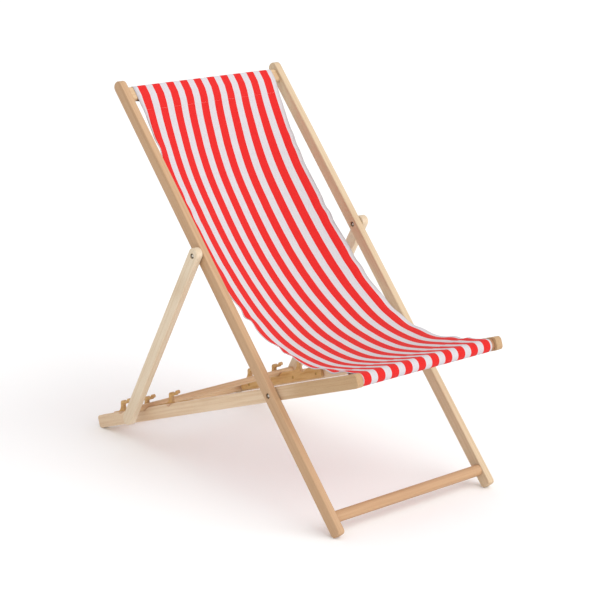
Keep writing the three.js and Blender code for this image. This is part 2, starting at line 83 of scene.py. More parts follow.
def linear(hex_colour: str) -> Colour:
    """Turns an sRGB hex colour such as "d6b085" into linear RGBA.

    Args:
        hex_colour: six hexadecimal digits.

    Returns:
        The linear colour, with full alpha.
    """
    channels = [int(hex_colour[i:i + 2], 16) / 255 for i in (0, 2, 4)]
    low = [c / 12.92 if c <= 0.04045 else ((c + 0.055) / 1.055) ** 2.4 for c in channels]
    return (*low, 1.0)


def add_node(tree: bpy.types.NodeTree, kind: str, inputs: dict | None = None,
             out: int | str = 0, **settings: object) -> bpy.types.NodeSocket:
    """Adds one node with its settings and links.

    Args:
        tree: the tree that gets the node.
        kind: the node's type after "ShaderNode", such as "Math".
        inputs: what goes into its inputs, by number or name. A socket is linked, and a number
            or a colour is set.
        out: which of its outputs is wanted, by number or name.
        settings: its attributes by name, and the (position, colour) stops of a colour ramp.

    Returns:
        The wanted output.
    """
    node = tree.nodes.new(f"ShaderNode{kind}")
    stops = settings.pop("stops", ())
    for name, value in settings.items():
        setattr(node, name, value)
    for key, value in (inputs or {}).items():
        if isinstance(value, bpy.types.NodeSocket):
            tree.links.new(value, node.inputs[key])
        else:
            node.inputs[key].default_value = value
    if stops:
        elements = node.color_ramp.elements
        elements[0].position, elements[0].color = stops[0]
        elements[1].position, elements[1].color = stops[-1]
        for place, colour in stops[1:-1]:
            elements.new(place).color = colour
    return node.outputs[out]


# ---- what the finishes are made of --------------------------------------------------------------


@dataclass(frozen=True)
class Pattern:
    """An uneven pattern in a finish, sized by the real thing that it stands for.

    Attributes:
        size: length of its features along the three directions.
        detail: how much finer structure it has.
        shift: moves it, so that no two patterns match.
    """

    size: tuple[float, float, float]
    detail: float = 2.0
    shift: float = 0.0

    def spread(self, tree: bpy.types.NodeTree, where: bpy.types.NodeSocket,
               seed: float = 0.0) -> bpy.types.NodeSocket:
        """Spreads the pattern over a surface.

        Args:
            tree: the material's tree.
            where: the surface's coordinates, in metres.
            seed: a further shift.

        Returns:
            The pattern's value, between 0 and 1.
        """
        shift = seed + self.shift
        placed = add_node(tree, "Mapping",
                          {"Vector": where, "Scale": tuple(1 / (mm * MM) for mm in self.size),
                           "Location": (shift, shift * 0.7, shift * 1.3)})
        return add_node(tree, "TexNoise", {"Vector": placed, "Scale": 1.0, "Detail": self.detail})


@dataclass(frozen=True)
class Layer:
    """A second colour that lies over a finish where a pattern is strong.

    Attributes:
        tint: its colour.
        low: value of the pattern below which none of it shows.
        high: value above which it shows most.
        most: its share there.
        blend: how it joins the colour under it.
    """

    tint: str
    low: float
    high: float
    most: float = 1.0
    blend: str = "MIX"

    def over(self, tree: bpy.types.NodeTree, colour: bpy.types.NodeSocket | Colour,
             pattern: bpy.types.NodeSocket) -> bpy.types.NodeSocket:
        """Lays the layer over a colour.

        Args:
            tree: the material's tree.
            colour: the colour under it.
            pattern: the pattern that it follows.

        Returns:
            The joined colour.
        """
        share = add_node(tree, "MapRange", {"Value": pattern, "From Min": self.low,
                                            "From Max": self.high, "To Max": self.most},
                         interpolation_type="SMOOTHSTEP")
        return add_node(tree, "Mix", {0: share, 6: colour, 7: linear(self.tint)}, 2,
                        data_type="RGBA", blend_type=self.blend)


@dataclass(frozen=True)
class Relief:
    """The fine roughness of a surface.

    Attributes:
        strength: how far it tilts the light.
        depth: how deep it is.
    """

    strength: float
    depth: float


@dataclass
class Coat:
    """A new material on its way: its tree, and how its parts go on.

    Attributes:
        name: the material's name.
        material: the material itself.
    """

    name: str
    material: bpy.types.Material = field(init=False)

    def __post_init__(self) -> None:
        """Makes the material with one plain shader."""
        self.material = bpy.data.materials.new(self.name)
        self.material.use_nodes = True

    @property
    def tree(self) -> bpy.types.NodeTree:
        """The material's node tree."""
        return self.material.node_tree

    def where(self, kind: str = "Object", axis: int | None = None) -> bpy.types.NodeSocket:
        """Finds a surface's place or direction.

        Args:
            kind: "Object" for its place in metres, "Normal" for its direction.
            axis: one of the three directions, or None for all.

        Returns:
            The coordinates, or one of them.
        """
        place = add_node(self.tree, "TexCoord", out=kind)
        if axis is None:
            return place
        return add_node(self.tree, "SeparateXYZ", {0: place}, axis)

    def paint(self, colour: bpy.types.NodeSocket, toned: bool = True) -> None:
        """Puts the colour on.

        Args:
            colour: the finished colour.
            toned: whether it is made a little darker for the bright studio.
        """
        if toned:
            colour = add_node(self.tree, "Mix", {0: 1.0, 6: colour, 7: TONE}, 2,
                              data_type="RGBA", blend_type="MULTIPLY")
        self.tree.links.new(colour, self.tree.nodes["Principled BSDF"].inputs["Base Color"])

    def dull(self, pattern: bpy.types.NodeSocket, spread: float, least: float) -> None:
        """Makes the roughness follow a pattern.

        Args:
            pattern: the pattern.
            spread: how much the pattern adds at most.
            least: roughness where the pattern adds nothing.
        """
        rough = add_node(self.tree, "Math", {0: pattern, 1: spread, 2: least},
                         operation="MULTIPLY_ADD")
        self.tree.links.new(rough, self.tree.nodes["Principled BSDF"].inputs["Roughness"])

    def emboss(self, height: bpy.types.NodeSocket, relief: Relief) -> None:
        """Raises the surface by a height pattern.

        Args:
            height: the pattern.
            relief: how strong and deep it is.
        """
        bump = add_node(self.tree, "Bump", {"Strength": relief.strength,
                                            "Distance": relief.depth * MM, "Height": height})
        self.tree.links.new(bump, self.tree.nodes["Principled BSDF"].inputs["Normal"])

    def settle(self, constants: dict[str, float]) -> bpy.types.Material:
        """Sets what is the same all over the surface.

        Args:
            constants: values by the shader's input names.

        Returns:
            The finished material.
        """
        for name, value in constants.items():
            self.tree.nodes["Principled BSDF"].inputs[name].default_value = value
        return self.material


# ---- finishes -----------------------------------------------------------------------------------


@dataclass(frozen=True)
class Beech:
    """Planed and oiled beech.

    Attributes:
        name: the material's name.
        pale: colour of the early wood.
        dark: colour of the late wood.
        seed: moves the figure, so that no two boards match.
        shadow: colour of broad darker patches.
        front: tint that is multiplied over the board ahead of its pivot.
        figure: the long bands of early and late wood.
        drift: broad changes of colour.
        fleck: ray flecks.
        pores: pore lines.
        relief: the raised grain.
    """

    name: str
    pale: str = "d9b992"
    dark: str = "c49f78"
    seed: float = 0.0
    shadow: str = "b8906a"
    front: str = "ffffff"
    figure: Pattern = Pattern((420, 9, 9), 3.0)
    drift: Pattern = Pattern((160, 60, 60), 1.0, 5.0)
    # Real flecks are 1 to 3 mm long and real pores under 0.1 mm wide. Both are drawn coarser, so
    # that they show.
    fleck: Pattern = Pattern((5, 0.8, 0.8), 1.0, 9.0)
    pores: Pattern = Pattern((14, 0.5, 0.5), 2.0, 13.0)
    relief: Relief = Relief(0.16, 0.4)

    def build(self) -> bpy.types.Material:
        """Builds the beech from its figure, flecks, pores, a tint ahead of its pivot and end
        grain.

        Returns:
            The material.
        """
        # Oiled beech gives the eye a long soft figure, short dark flecks, a dull sheen that
        # breaks along the grain, and darker ends.
        coat = Coat(self.name)
        tree, where = coat.tree, coat.where()
        figure, drift, fleck, pores = (
            pattern.spread(tree, where, self.seed)
            for pattern in (self.figure, self.drift, self.fleck, self.pores))
        pale, dark = linear(self.pale), linear(self.dark)
        bands = add_node(tree, "ValToRGB", {0: figure},
                         stops=((0.36, dark), (0.5, pale), (0.64, dark)))
        body = add_node(tree, "Mix", {0: 0.5, 6: bands, 7: pale}, 2, data_type="RGBA")
        body = Layer(self.shadow, 0.5, 0.8, 0.3).over(tree, body, drift)
        body = Layer("94704e", 0.66, 0.74, 0.35).over(tree, body, fleck)
        body = Layer("ab8660", 0.55, 0.75, 0.22).over(tree, body, pores)
        # Ahead of its pivot the board is multiplied by the front tint; on the seat rails this
        # makes the front part darker.
        ahead = add_node(tree, "Math", {0: coat.where(axis=0), 1: -1.0}, operation="MULTIPLY")
        body = Layer(self.front, -0.03, 0.12, blend="MULTIPLY").over(tree, body, ahead)
        ends = add_node(tree, "Math", {0: coat.where("Normal", 0)}, operation="ABSOLUTE")
        coat.paint(Layer("ad8862", 0.55, 0.95, 0.25).over(tree, body, ends))
        coat.dull(pores, 0.22, 0.42)
        coat.emboss(add_node(tree, "Math", {0: figure, 1: 0.4, 2: pores},
                             operation="MULTIPLY_ADD"), self.relief)
        return coat.settle({"IOR": 1.48, "Specular IOR Level": 0.35})


@dataclass(frozen=True)
class Plywood:
    """Birch plywood with a routed edge.

    Attributes:
        name: the material's name.
        seed: moves the figure, so that the two racks differ.
        thick: thickness of the sheet.
        plies: how many dark and pale plies it has.
        waver: how far the plies wander.
        figure: the face veneer's broad figure.
        curl: its fine figure.
        relief: the raised grain.
    """

    name: str
    seed: float
    thick: float
    plies: int = 7
    waver: float = 0.4
    figure: Pattern = Pattern((70, 7, 7), 3.0)
    curl: Pattern = Pattern((9, 3, 3), 3.0, 4.0)
    relief: Relief = Relief(0.25, 0.4)

    def build(self) -> bpy.types.Material:
        """Builds the plywood from its face veneer and the plies seen on its edge.

        Returns:
            The material.
        """
        # Birch plywood gives the eye a golden face with a soft figure, and thin pale and brown
        # stripes wherever its edge is cut.
        coat = Coat(self.name)
        tree, where = coat.tree, coat.where()
        figure = self.figure.spread(tree, where, self.seed)
        curl = self.curl.spread(tree, where, self.seed)
        veneer = add_node(tree, "ValToRGB", {0: figure},
                          stops=((0.3, linear("c4934f")), (0.55, linear("d9ae70")),
                                 (0.75, linear("cb9c5c"))))
        face = Layer("b07f43", 0.52, 0.75, 0.4).over(tree, veneer, curl)
        depth = add_node(tree, "Math", {0: curl, 1: self.waver * MM, 2: coat.where(axis=2)},
                         operation="MULTIPLY_ADD")
        turns = add_node(tree, "Math", {0: depth, 1: math.pi * self.plies / (self.thick * MM)},
                         operation="MULTIPLY")
        band = add_node(tree, "Math", {0: turns}, operation="SINE")
        ply = add_node(tree, "Math", {0: band, 1: 0.5, 2: 0.5}, operation="MULTIPLY_ADD")
        cut = add_node(tree, "ValToRGB", {0: ply},
                       stops=((0.3, linear("a87443")), (0.6, linear("dfbd88"))))
        facing = add_node(tree, "Math", {0: coat.where("Normal", 2)}, operation="ABSOLUTE")
        on_face = add_node(tree, "MapRange", {"Value": facing, "From Min": 0.6, "From Max": 0.9},
                           interpolation_type="SMOOTHSTEP")
        coat.paint(add_node(tree, "Mix", {0: on_face, 6: cut, 7: face}, 2, data_type="RGBA"))
        coat.dull(curl, 0.2, 0.45)
        coat.emboss(curl, self.relief)
        return coat.settle({})


@dataclass(frozen=True)
class PlatedSteel:
    """Turned steel hardware, zinc plated.

    Attributes:
        name: the material's name.
        bright: colour of the clean plating.
        dull: colour where it has tarnished.
        scratch: length and width of the turning marks.
        rim_from: radius beyond which the plating is painted dark, as painted shade round a sunk
            head.
        rim_soft: half the width of the change at that radius.
        patch: the tarnished patches.
        relief: how deep the turning marks are.
    """

    name: str
    bright: str
    dull: str
    scratch: float = 0.6
    rim_from: float = 100.0
    rim_soft: float = 0.2
    patch: Pattern = Pattern((3, 3, 3), 3.0)
    relief: Relief = Relief(0.2, 0.2)

    def build(self) -> bpy.types.Material:
        """Builds the plating from its tarnish, turning marks and a rim of painted shade.

        Returns:
            The material.
        """
        # Zinc plating gives the eye a soft metallic gleam with dull spots. A sunk head's outer
        # ring is painted dark as painted shade from its recess, which leaves a dark ring about a
        # bright middle. Real turning marks are about 0.1 mm apart and are drawn coarser, so that
        # they show.
        coat = Coat(self.name)
        tree, where = coat.tree, coat.where()
        marks = Pattern((self.scratch, self.scratch, 4)).spread(tree, where)
        tarnish = Layer(self.dull, 0.45, 0.7, 0.8)
        colour = tarnish.over(tree, linear(self.bright), self.patch.spread(tree, where))
        x, y = coat.where(axis=0), coat.where(axis=1)
        square = add_node(tree, "Math", {0: y, 1: y}, operation="MULTIPLY")
        squares = add_node(tree, "Math", {0: x, 1: x, 2: square}, operation="MULTIPLY_ADD")
        radius = add_node(tree, "Math", {0: squares}, operation="SQRT")
        # Painted shade: beyond rim_from the head is coloured almost black, for the shade in its
        # recess.
        painted_shade_ring = Layer("2c2620", (self.rim_from - self.rim_soft) * MM,
                      (self.rim_from + self.rim_soft) * MM)
        coat.paint(painted_shade_ring.over(tree, colour, radius), toned=False)
        coat.dull(marks, 0.3, 0.2)
        coat.emboss(marks, self.relief)
        return coat.settle({"Metallic": 1.0})


@dataclass(frozen=True)
class StripedCanvas:
    """Cotton canvas, woven in red and white stripes.

    Attributes:
        name: the material's name.
        red: colour of the red warp.
        white: colour of the white warp.
        pitch: distance between the middles of two red stripes.
        red_width: width of a red stripe.
        stripes: how many red stripes it has.
        soft: half the width of a stripe's blurred edge.
        wander: how far a stripe's edge wanders.
        waver: the pattern that it wanders by.
        slub: thick places in the warp.
        weft: thick places in the weft.
        thread: distance between the middles of two threads.
        relief: how deep the weave is.
    """

    name: str = "striped_cotton_canvas"
    red: str = "e52624"
    white: str = "d8d4d8"
    pitch: float = 44.5
    red_width: float = 24.0
    stripes: int = 10
    soft: float = 0.15
    wander: float = 0.5
    waver: Pattern = Pattern((2, 6, 1), 1.0)
    slub: Pattern = Pattern((0.8, 22, 1), 2.0)
    weft: Pattern = Pattern((22, 0.8, 1), 2.0, 7.0)
    # Real canvas has a thread about every 0.6 mm. It is drawn coarser, so that it shows.
    thread: float = 1.1
    relief: Relief = Relief(0.3, 0.3)

    def build(self) -> bpy.types.Material:
        """Builds the canvas in the cloth's own coordinates, in metres across and along it.

        Returns:
            The material.
        """
        # Cotton canvas gives the eye matt, faintly uneven colour with slubs in both thread
        # directions, a small weave and crisp woven stripes.
        coat = Coat(self.name)
        tree = coat.tree
        cloth = add_node(tree, "UVMap", uv_map="cloth")
        across, along = (add_node(tree, "SeparateXYZ", {0: cloth}, axis) for axis in (0, 1))
        slub, weft = (pattern.spread(tree, cloth) for pattern in (self.slub, self.weft))
        red = Layer("b81c20", 0.5, 0.75, 0.5).over(tree, linear(self.red), slub)
        red = Layer("ec4a42", 0.55, 0.8, 0.4).over(tree, red, weft)
        white = Layer("c0bbc4", 0.5, 0.75, 0.5).over(tree, linear(self.white), slub)
        white = Layer("e4e1e2", 0.55, 0.8, 0.5).over(tree, white, weft)
        woven = add_node(tree, "Mix", {0: self.stripe(tree, cloth, across), 6: white, 7: red}, 2,
                         data_type="RGBA")
        waves = []
        for run in (across, along):
            turns = add_node(tree, "Math", {0: run, 1: 2 * math.pi / (self.thread * MM)},
                             operation="MULTIPLY")
            waves.append(add_node(tree, "Math", {0: turns}, operation="SINE"))
        weave = add_node(tree, "Math", dict(enumerate(waves)), operation="MULTIPLY")
        raised = add_node(tree, "MapRange", {"Value": weave, "From Min": -1.0, "From Max": 0.2},
                          interpolation_type="SMOOTHSTEP")
        # Painted shade: the hollows between the threads are coloured darker.
        hollow = add_node(tree, "Mix", {0: 1.0, 6: woven, 7: (0.78, 0.76, 0.76, 1.0)}, 2,
                          data_type="RGBA", blend_type="MULTIPLY")
        coat.paint(add_node(tree, "Mix", {0: raised, 6: hollow, 7: woven}, 2, data_type="RGBA"))
        coat.emboss(add_node(tree, "Math", {0: slub, 1: 1.5, 2: weave},
                             operation="MULTIPLY_ADD"), self.relief)
        return coat.settle({"Roughness": 0.85, "IOR": 1.5, "Specular IOR Level": 0.12,
                            "Sheen Weight": 0.05, "Sheen Roughness": 0.6})

    def stripe(self, tree: bpy.types.NodeTree, cloth: bpy.types.NodeSocket,
               across: bpy.types.NodeSocket) -> bpy.types.NodeSocket:
        """Finds where the cloth is red.

        Args:
            tree: the material's tree.
            cloth: the cloth's coordinates.
            across: the place across the cloth.

        Returns:
            1 on a red stripe and 0 on a white one or on the plain margins.
        """
        waver = self.waver.spread(tree, cloth)
        moved = add_node(tree, "Math", {0: waver, 1: self.wander * MM, 2: across},
                         operation="MULTIPLY_ADD")
        fold = add_node(tree, "Math", {0: moved, 1: self.pitch * MM / 2}, operation="PINGPONG")
        half_white = (self.pitch - self.red_width) / 2
        inside = add_node(tree, "MapRange", {"Value": fold,
                                             "From Min": (half_white - self.soft) * MM,
                                             "From Max": (half_white + self.soft) * MM},
                          interpolation_type="SMOOTHSTEP")
        edge = (self.pitch * (self.stripes - 1) + self.red_width) / 2 * MM
        off = add_node(tree, "Math", {0: moved}, operation="ABSOLUTE")
        striped = add_node(tree, "Math", {0: off, 1: edge}, operation="LESS_THAN")
        return add_node(tree, "Math", {0: inside, 1: striped}, operation="MULTIPLY")


@dataclass(frozen=True)
class Thread:
    """Twisted cotton sewing thread.

    Attributes:
        name: the material's name.
        twist: the thread's twist.
    """

    name: str = "cotton_sewing_thread"
    twist: Pattern = Pattern((0.5, 0.5, 0.5))

    def build(self) -> bpy.types.Material:
        """Builds the thread from its twist.

        Returns:
            The material.
        """
        # Cotton thread gives the eye a matt off-white line, finely broken by its twist.
        coat = Coat(self.name)
        twist = self.twist.spread(coat.tree, coat.where())
        coat.paint(add_node(coat.tree, "Mix", {0: twist, 6: linear("f1eeec"),
                                               7: linear("cfc8c4")}, 2, data_type="RGBA"),
                   toned=False)
        return coat.settle({"Roughness": 0.8})


@dataclass(frozen=True)
class PaleFloor:
    """Matt painted studio floor.

    Attributes:
        name: the material's name.
        mottle: its faint unevenness.
    """

    name: str = "matt_white_floor_paint"
    mottle: Pattern = Pattern((900, 900, 900))

    def build(self) -> bpy.types.Material:
        """Builds the paint from a faint mottling.

        Returns:
            The material.
        """
        # Matt paint gives the eye an even white with no gloss.
        coat = Coat(self.name)
        mottle = self.mottle.spread(coat.tree, coat.where())
        coat.paint(add_node(coat.tree, "Mix", {0: mottle, 6: linear("fbfbfb"),
                                               7: linear("f6f6f6")}, 2, data_type="RGBA"),
                   toned=False)
        return coat.settle({"Roughness": 0.9, "Specular IOR Level": 0.1})


# ---- frames of the chair ------------------------------------------------------------------------


class Body(Enum):
    """The moving bodies of the chair."""

    BACK = "back_frame"
    SEAT = "seat_frame"
    PROP = "prop_frame"


class Side(Enum):
    """The chair's two sides, by the sign of x."""

    LEFT = 1
    RIGHT = -1

    @property
    def word(self) -> str:
        """The side's name in a node."""
        return self.name.lower()


class Slot(Enum):
    """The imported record's material slots."""

    BEECH = "beech"
    PALE_BEECH = "pale_beech"
    PLYWOOD = "plywood"
    STEEL = "zinc_plated_steel"
    BRASS = "brass_plated_steel"
    CANVAS = "striped_canvas"


@dataclass(frozen=True)
class SidePlane:
    """A frame's own directions in the chair's side view.

    Attributes:
        body: the body that the frame is.
        pivot: (y, z) of its pivot.
        turn: angle of its rails above the floor towards the rear, in radians.
    """

    body: Body
    pivot: Point2
    turn: float

    def side(self, s: float, n: float) -> Point2:
        """The (y, z) of a point s along the rails and n square to them."""
        c, t = math.cos(self.turn), math.sin(self.turn)
        return (self.pivot[0] + s * c - n * t, self.pivot[1] + s * t + n * c)

    def matrix(self, w: float = 0.0, s: float = 0.0, n: float = 0.0) -> Matrix:
        """Places a mesh whose x is s, y is n and z is w.

        Args:
            w: where its origin lies across the chair.
            s: where it lies along the rails.
            n: where it lies square to them.

        Returns:
            The matrix, in metres.
        """
        y, z = self.side(s, n)
        c, t = math.cos(self.turn), math.sin(self.turn)
        return Matrix(((0, 0, 1, w * MM), (c, -t, 0, y * MM), (t, c, 0, z * MM), (0, 0, 0, 1)))


# ---- mesh tools ---------------------------------------------------------------------------------


def arc(centre: Point2, radius: float, start: float, end: float, steps: int) -> list[Point2]:
    """Draws an arc.

    Args:
        centre: its centre.
        radius: its radius.
        start: angle of its first point, in degrees.
        end: angle of its last point, in degrees.
        steps: how many straight pieces it has.

    Returns:
        Its points, both ends included.
    """
    angles = [math.radians(start + (end - start) * i / steps) for i in range(steps + 1)]
    return [(centre[0] + radius * math.cos(a), centre[1] + radius * math.sin(a)) for a in angles]


def bend(a: Point2, control: Point2, b: Point2, steps: int = 8) -> list[Point2]:
    """Draws a quadratic curve.

    Args:
        a: where it starts.
        control: the point that it bends towards.
        b: where it ends.
        steps: how many straight pieces it has.

    Returns:
        Its points without a itself.
    """
    points = []
    for i in range(1, steps + 1):
        t = i / steps
        u = 1 - t
        points.append(tuple(u * u * a[k] + 2 * u * t * control[k] + t * t * b[k] for k in (0, 1)))
    return points


def runs_along(points: Sequence[Sequence[float]]) -> list[float]:
    """Measures a polyline.

    Args:
        points: its points.

    Returns:
        The run along it to each point.
    """
    runs = [0.0]
    for a, b in zip(points, points[1:]):
        runs.append(runs[-1] + math.dist(a, b))
    return runs


def resampled(points: Sequence[Point2], step: float) -> list[Point2]:
    """Spaces a polyline's points evenly.

    Args:
        points: the polyline.
        step: the wanted distance between points.

    Returns:
        Points at equal distances of about a step.
    """
    runs = runs_along(points)
    count = max(1, round(runs[-1] / step))
    result, k = [], 0
    for i in range(count + 1):
        target = runs[-1] * i / count
        while k < len(runs) - 2 and runs[k + 1] < target:
            k += 1
        span = runs[k + 1] - runs[k] or 1.0
        t = (target - runs[k]) / span
        result.append(tuple(points[k][j] + (points[k + 1][j] - points[k][j]) * t for j in (0, 1)))
    return result


def spline(points: Sequence[Point2], step: float, pieces: int = 24) -> list[Point2]:
    """Draws a smooth curve through points.

    Args:
        points: the points that it passes.
        step: the wanted distance between the curve's own points.
        pieces: how many straight pieces it has between two given points before it is spaced.

    Returns:
        Points at equal distances of about a step.
    """
    ends = [tuple(2 * points[0][k] - points[1][k] for k in (0, 1)),
            tuple(2 * points[-1][k] - points[-2][k] for k in (0, 1))]
    full = [ends[0], *points, ends[1]]
    fine: list[Point2] = []
    for p0, p1, p2, p3 in zip(full, full[1:], full[2:], full[3:]):
        for i in range(pieces):
            t = i / pieces
            fine.append(tuple(
                0.5 * (2 * p1[k] + (p2[k] - p0[k]) * t
                       + (2 * p0[k] - 5 * p1[k] + 4 * p2[k] - p3[k]) * t * t
                       + (3 * p1[k] - p0[k] - 3 * p2[k] + p3[k]) * t ** 3) for k in (0, 1)))
    fine.append(tuple(points[-1]))
    return resampled(fine, step)


def board_outline(s0: float, s1: float, depth: float, r0: float, r1: float,
                  steps: int = 10) -> list[Point2]:
    """Draws a board from the side.

    Args:
        s0: where it starts along the rails.
        s1: where it ends.
        depth: its depth.
        r0: corner radius at its start.
        r1: corner radius at its end.
        steps: how many straight pieces a corner has.

    Returns:
        The outline's points.
    """
    h = depth / 2
    return [*arc((s0 + r0, -h + r0), r0, 180, 270, steps),
            *arc((s1 - r1, -h + r1), r1, 270, 360, steps),
            *arc((s1 - r1, h - r1), r1, 0, 90, steps),
            *arc((s0 + r0, h - r0), r0, 90, 180, steps)]


def extruded(outline: Sequence[Point2], w0: float, w1: float) -> bmesh.types.BMesh:
    """Makes a closed plate.

    Args:
        outline: its side outline.
        w0: width at which it starts.
        w1: width at which it ends.

    Returns:
        The plate.
    """
    mesh = bmesh.new()
    rings = [[mesh.verts.new((s * MM, n * MM, w * MM)) for s, n in outline] for w in (w0, w1)]
    mesh.faces.new(list(reversed(rings[0])))
    mesh.faces.new(rings[1])
    count = len(outline)
    for i in range(count):
        j = (i + 1) % count
        mesh.faces.new((rings[0][i], rings[0][j], rings[1][j], rings[1][i]))
    bmesh.ops.remove_doubles(mesh, verts=mesh.verts, dist=1e-7)
    bmesh.ops.recalc_face_normals(mesh, faces=mesh.faces)
    return mesh


def turned(profile: Sequence[Point2], segments: int = 48) -> bmesh.types.BMesh:
    """Makes a solid of revolution about w.

    Args:
        profile: (radius, w) points that start and end on the axis.
        segments: how many sides it has.

    Returns:
        The solid.
    """
    mesh = bmesh.new()
    rows = []
    for radius, w in profile:
        if radius <= 0:
            rows.append([mesh.verts.new((0, 0, w * MM))])
            continue
        turns = [2 * math.pi * k / segments for k in range(segments)]
        rows.append([mesh.verts.new((radius * math.cos(a) * MM, radius * math.sin(a) * MM, w * MM))
                     for a in turns])
    for low, high in zip(rows, rows[1:]):
        for k in range(segments):
            m = (k + 1) % segments
            corners = [low[k % len(low)], low[m % len(low)], high[m % len(high)],
                       high[k % len(high)]]
            face = list(dict.fromkeys(corners))
            if len(face) > 2:
                mesh.faces.new(face)
    bmesh.ops.recalc_face_normals(mesh, faces=mesh.faces)
    return mesh


def round_tool(radius: float, w0: float, w1: float, s: float = 0.0) -> bmesh.types.BMesh:
    """Makes a round cutting tool along w.

    Args:
        radius: its radius.
        w0: width of one end.
        w1: width of the other end.
        s: where it stands along the rails.

    Returns:
        The tool.
    """
    low, high = sorted((w0, w1))
    mesh = turned([(0, low), (radius, low), (radius, high), (0, high)])
    bmesh.ops.translate(mesh, verts=mesh.verts, vec=(s * MM, 0, 0))
    return mesh


def new_object(name: str, mesh: bmesh.types.BMesh) -> bpy.types.Object:
    """Turns mesh code into an object in the scene.

    Args:
        name: the object's name.
        mesh: the mesh code, which is used up.

    Returns:
        The object.
    """
    data = bpy.data.meshes.new(name)
    mesh.to_mesh(data)
    mesh.free()
    thing = bpy.data.objects.new(name, data)
    bpy.context.scene.collection.objects.link(thing)
    return thing


def settle(thing: bpy.types.Object) -> None:
    """Applies an object's modifiers to its mesh.

    Args:
        thing: the object.
    """
    depsgraph = bpy.context.evaluated_depsgraph_get()
    fresh = bpy.data.meshes.new_from_object(thing.evaluated_get(depsgraph))
    fresh.name = thing.name
    thing.modifiers.clear()
    thing.data = fresh


def soften(thing: bpy.types.Object, width: float, segments: int, limit: float = 40.0) -> None:
    """Rounds an object's sharp edges.

    Args:
        thing: the object.
        width: how wide the rounding is.
        segments: how many faces it has.
        limit: angle in degrees above which an edge is sharp.
    """
    bevel = thing.modifiers.new("edge", "BEVEL")
    bevel.width = width * MM
    bevel.segments = segments
    bevel.limit_method = "ANGLE"
    bevel.angle_limit = math.radians(limit)
    settle(thing)


def carve(thing: bpy.types.Object, tools: Iterable[bmesh.types.BMesh]) -> None:
    """Cuts tools out of an object.

    Args:
        thing: the object.
        tools: closed meshes, which are used up.
    """
    for tool in tools:
        cutter = new_object("cutter", tool)
        cut = thing.modifiers.new("cut", "BOOLEAN")
        cut.operation = "DIFFERENCE"
        cut.solver = "EXACT"
        cut.object = cutter
        settle(thing)
        bpy.data.objects.remove(cutter)


def shade(thing: bpy.types.Object, limit: float = 32.0) -> None:
    """Shades an object smooth except across its sharp edges.

    Args:
        thing: the object.
        limit: angle in degrees above which an edge is sharp.
    """
    mesh = bmesh.new()
    mesh.from_mesh(thing.data)
    for face in mesh.faces:
        face.smooth = True
    for edge in mesh.edges:
        edge.smooth = len(edge.link_faces) != 2 or edge.calc_face_angle(0) < math.radians(limit)
    mesh.to_mesh(thing.data)
    mesh.free()


def install(thing: bpy.types.Object, plane: SidePlane, place: Matrix, node: str,
            material: bpy.types.Material) -> None:
    """Gives a finished piece its material, place, body and the node that it stands for.

    Args:
        thing: the piece.
        plane: the frame that it rides on.
        place: its matrix.
        node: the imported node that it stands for.
        material: its material.
    """
    thing.data.materials.clear()
    thing.data.materials.append(material)
    thing.matrix_world = place
    bpy.context.view_layer.update()
    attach(thing, plane.body.value)
    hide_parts(node)
    log.info("%s: %d faces in %s", node, len(thing.data.polygons), material.name)


def facing_out(place: Matrix, side: Side) -> Matrix:
    """Turns a piece's w direction away from the chair's middle."""
    return place @ Matrix.Rotation(math.pi, 4, "X") if side is Side.RIGHT else place


# ---- boards and bars ----------------------------------------------------------------------------


@dataclass(frozen=True)
class Board:
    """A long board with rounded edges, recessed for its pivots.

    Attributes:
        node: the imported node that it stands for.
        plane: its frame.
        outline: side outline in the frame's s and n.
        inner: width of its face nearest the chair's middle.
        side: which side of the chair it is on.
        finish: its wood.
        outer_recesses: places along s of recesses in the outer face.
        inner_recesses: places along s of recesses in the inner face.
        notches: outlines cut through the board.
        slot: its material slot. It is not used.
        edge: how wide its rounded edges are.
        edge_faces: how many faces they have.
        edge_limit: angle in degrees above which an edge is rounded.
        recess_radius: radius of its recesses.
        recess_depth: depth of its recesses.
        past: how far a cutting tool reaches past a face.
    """

    node: str
    plane: SidePlane
    outline: Sequence[Point2]
    inner: float
    side: Side
    finish: Beech
    outer_recesses: Sequence[float] = ()
    inner_recesses: Sequence[float] = ()
    notches: Sequence[Sequence[Point2]] = ()
    slot: Slot = Slot.BEECH
    edge: float = 2.6
    edge_faces: int = 4
    edge_limit: float = 55.0
    recess_radius: float = 6.8
    recess_depth: float = 4.6
    past: float = 1.0

    def build(self) -> None:
        """Builds the board and puts it in place."""
        sign = self.side.value
        inner, outer = sign * self.inner, sign * (self.inner + BOARD)
        low, high = sorted((inner, outer))
        board = new_object(f"{self.node}_board", extruded(self.outline, low, high))
        carve(board, [extruded(n, low - 2 * self.past, high + 2 * self.past)
                      for n in self.notches])
        soften(board, self.edge, self.edge_faces, self.edge_limit)
        faces = ((outer, -sign, self.outer_recesses), (inner, sign, self.inner_recesses))
        carve(board, [round_tool(self.recess_radius, face - inward * self.past,
                                 face + inward * self.recess_depth, s)
                      for face, inward, places in faces for s in places])
        shade(board)
        install(board, self.plane, self.plane.matrix(), self.node, self.finish.build())


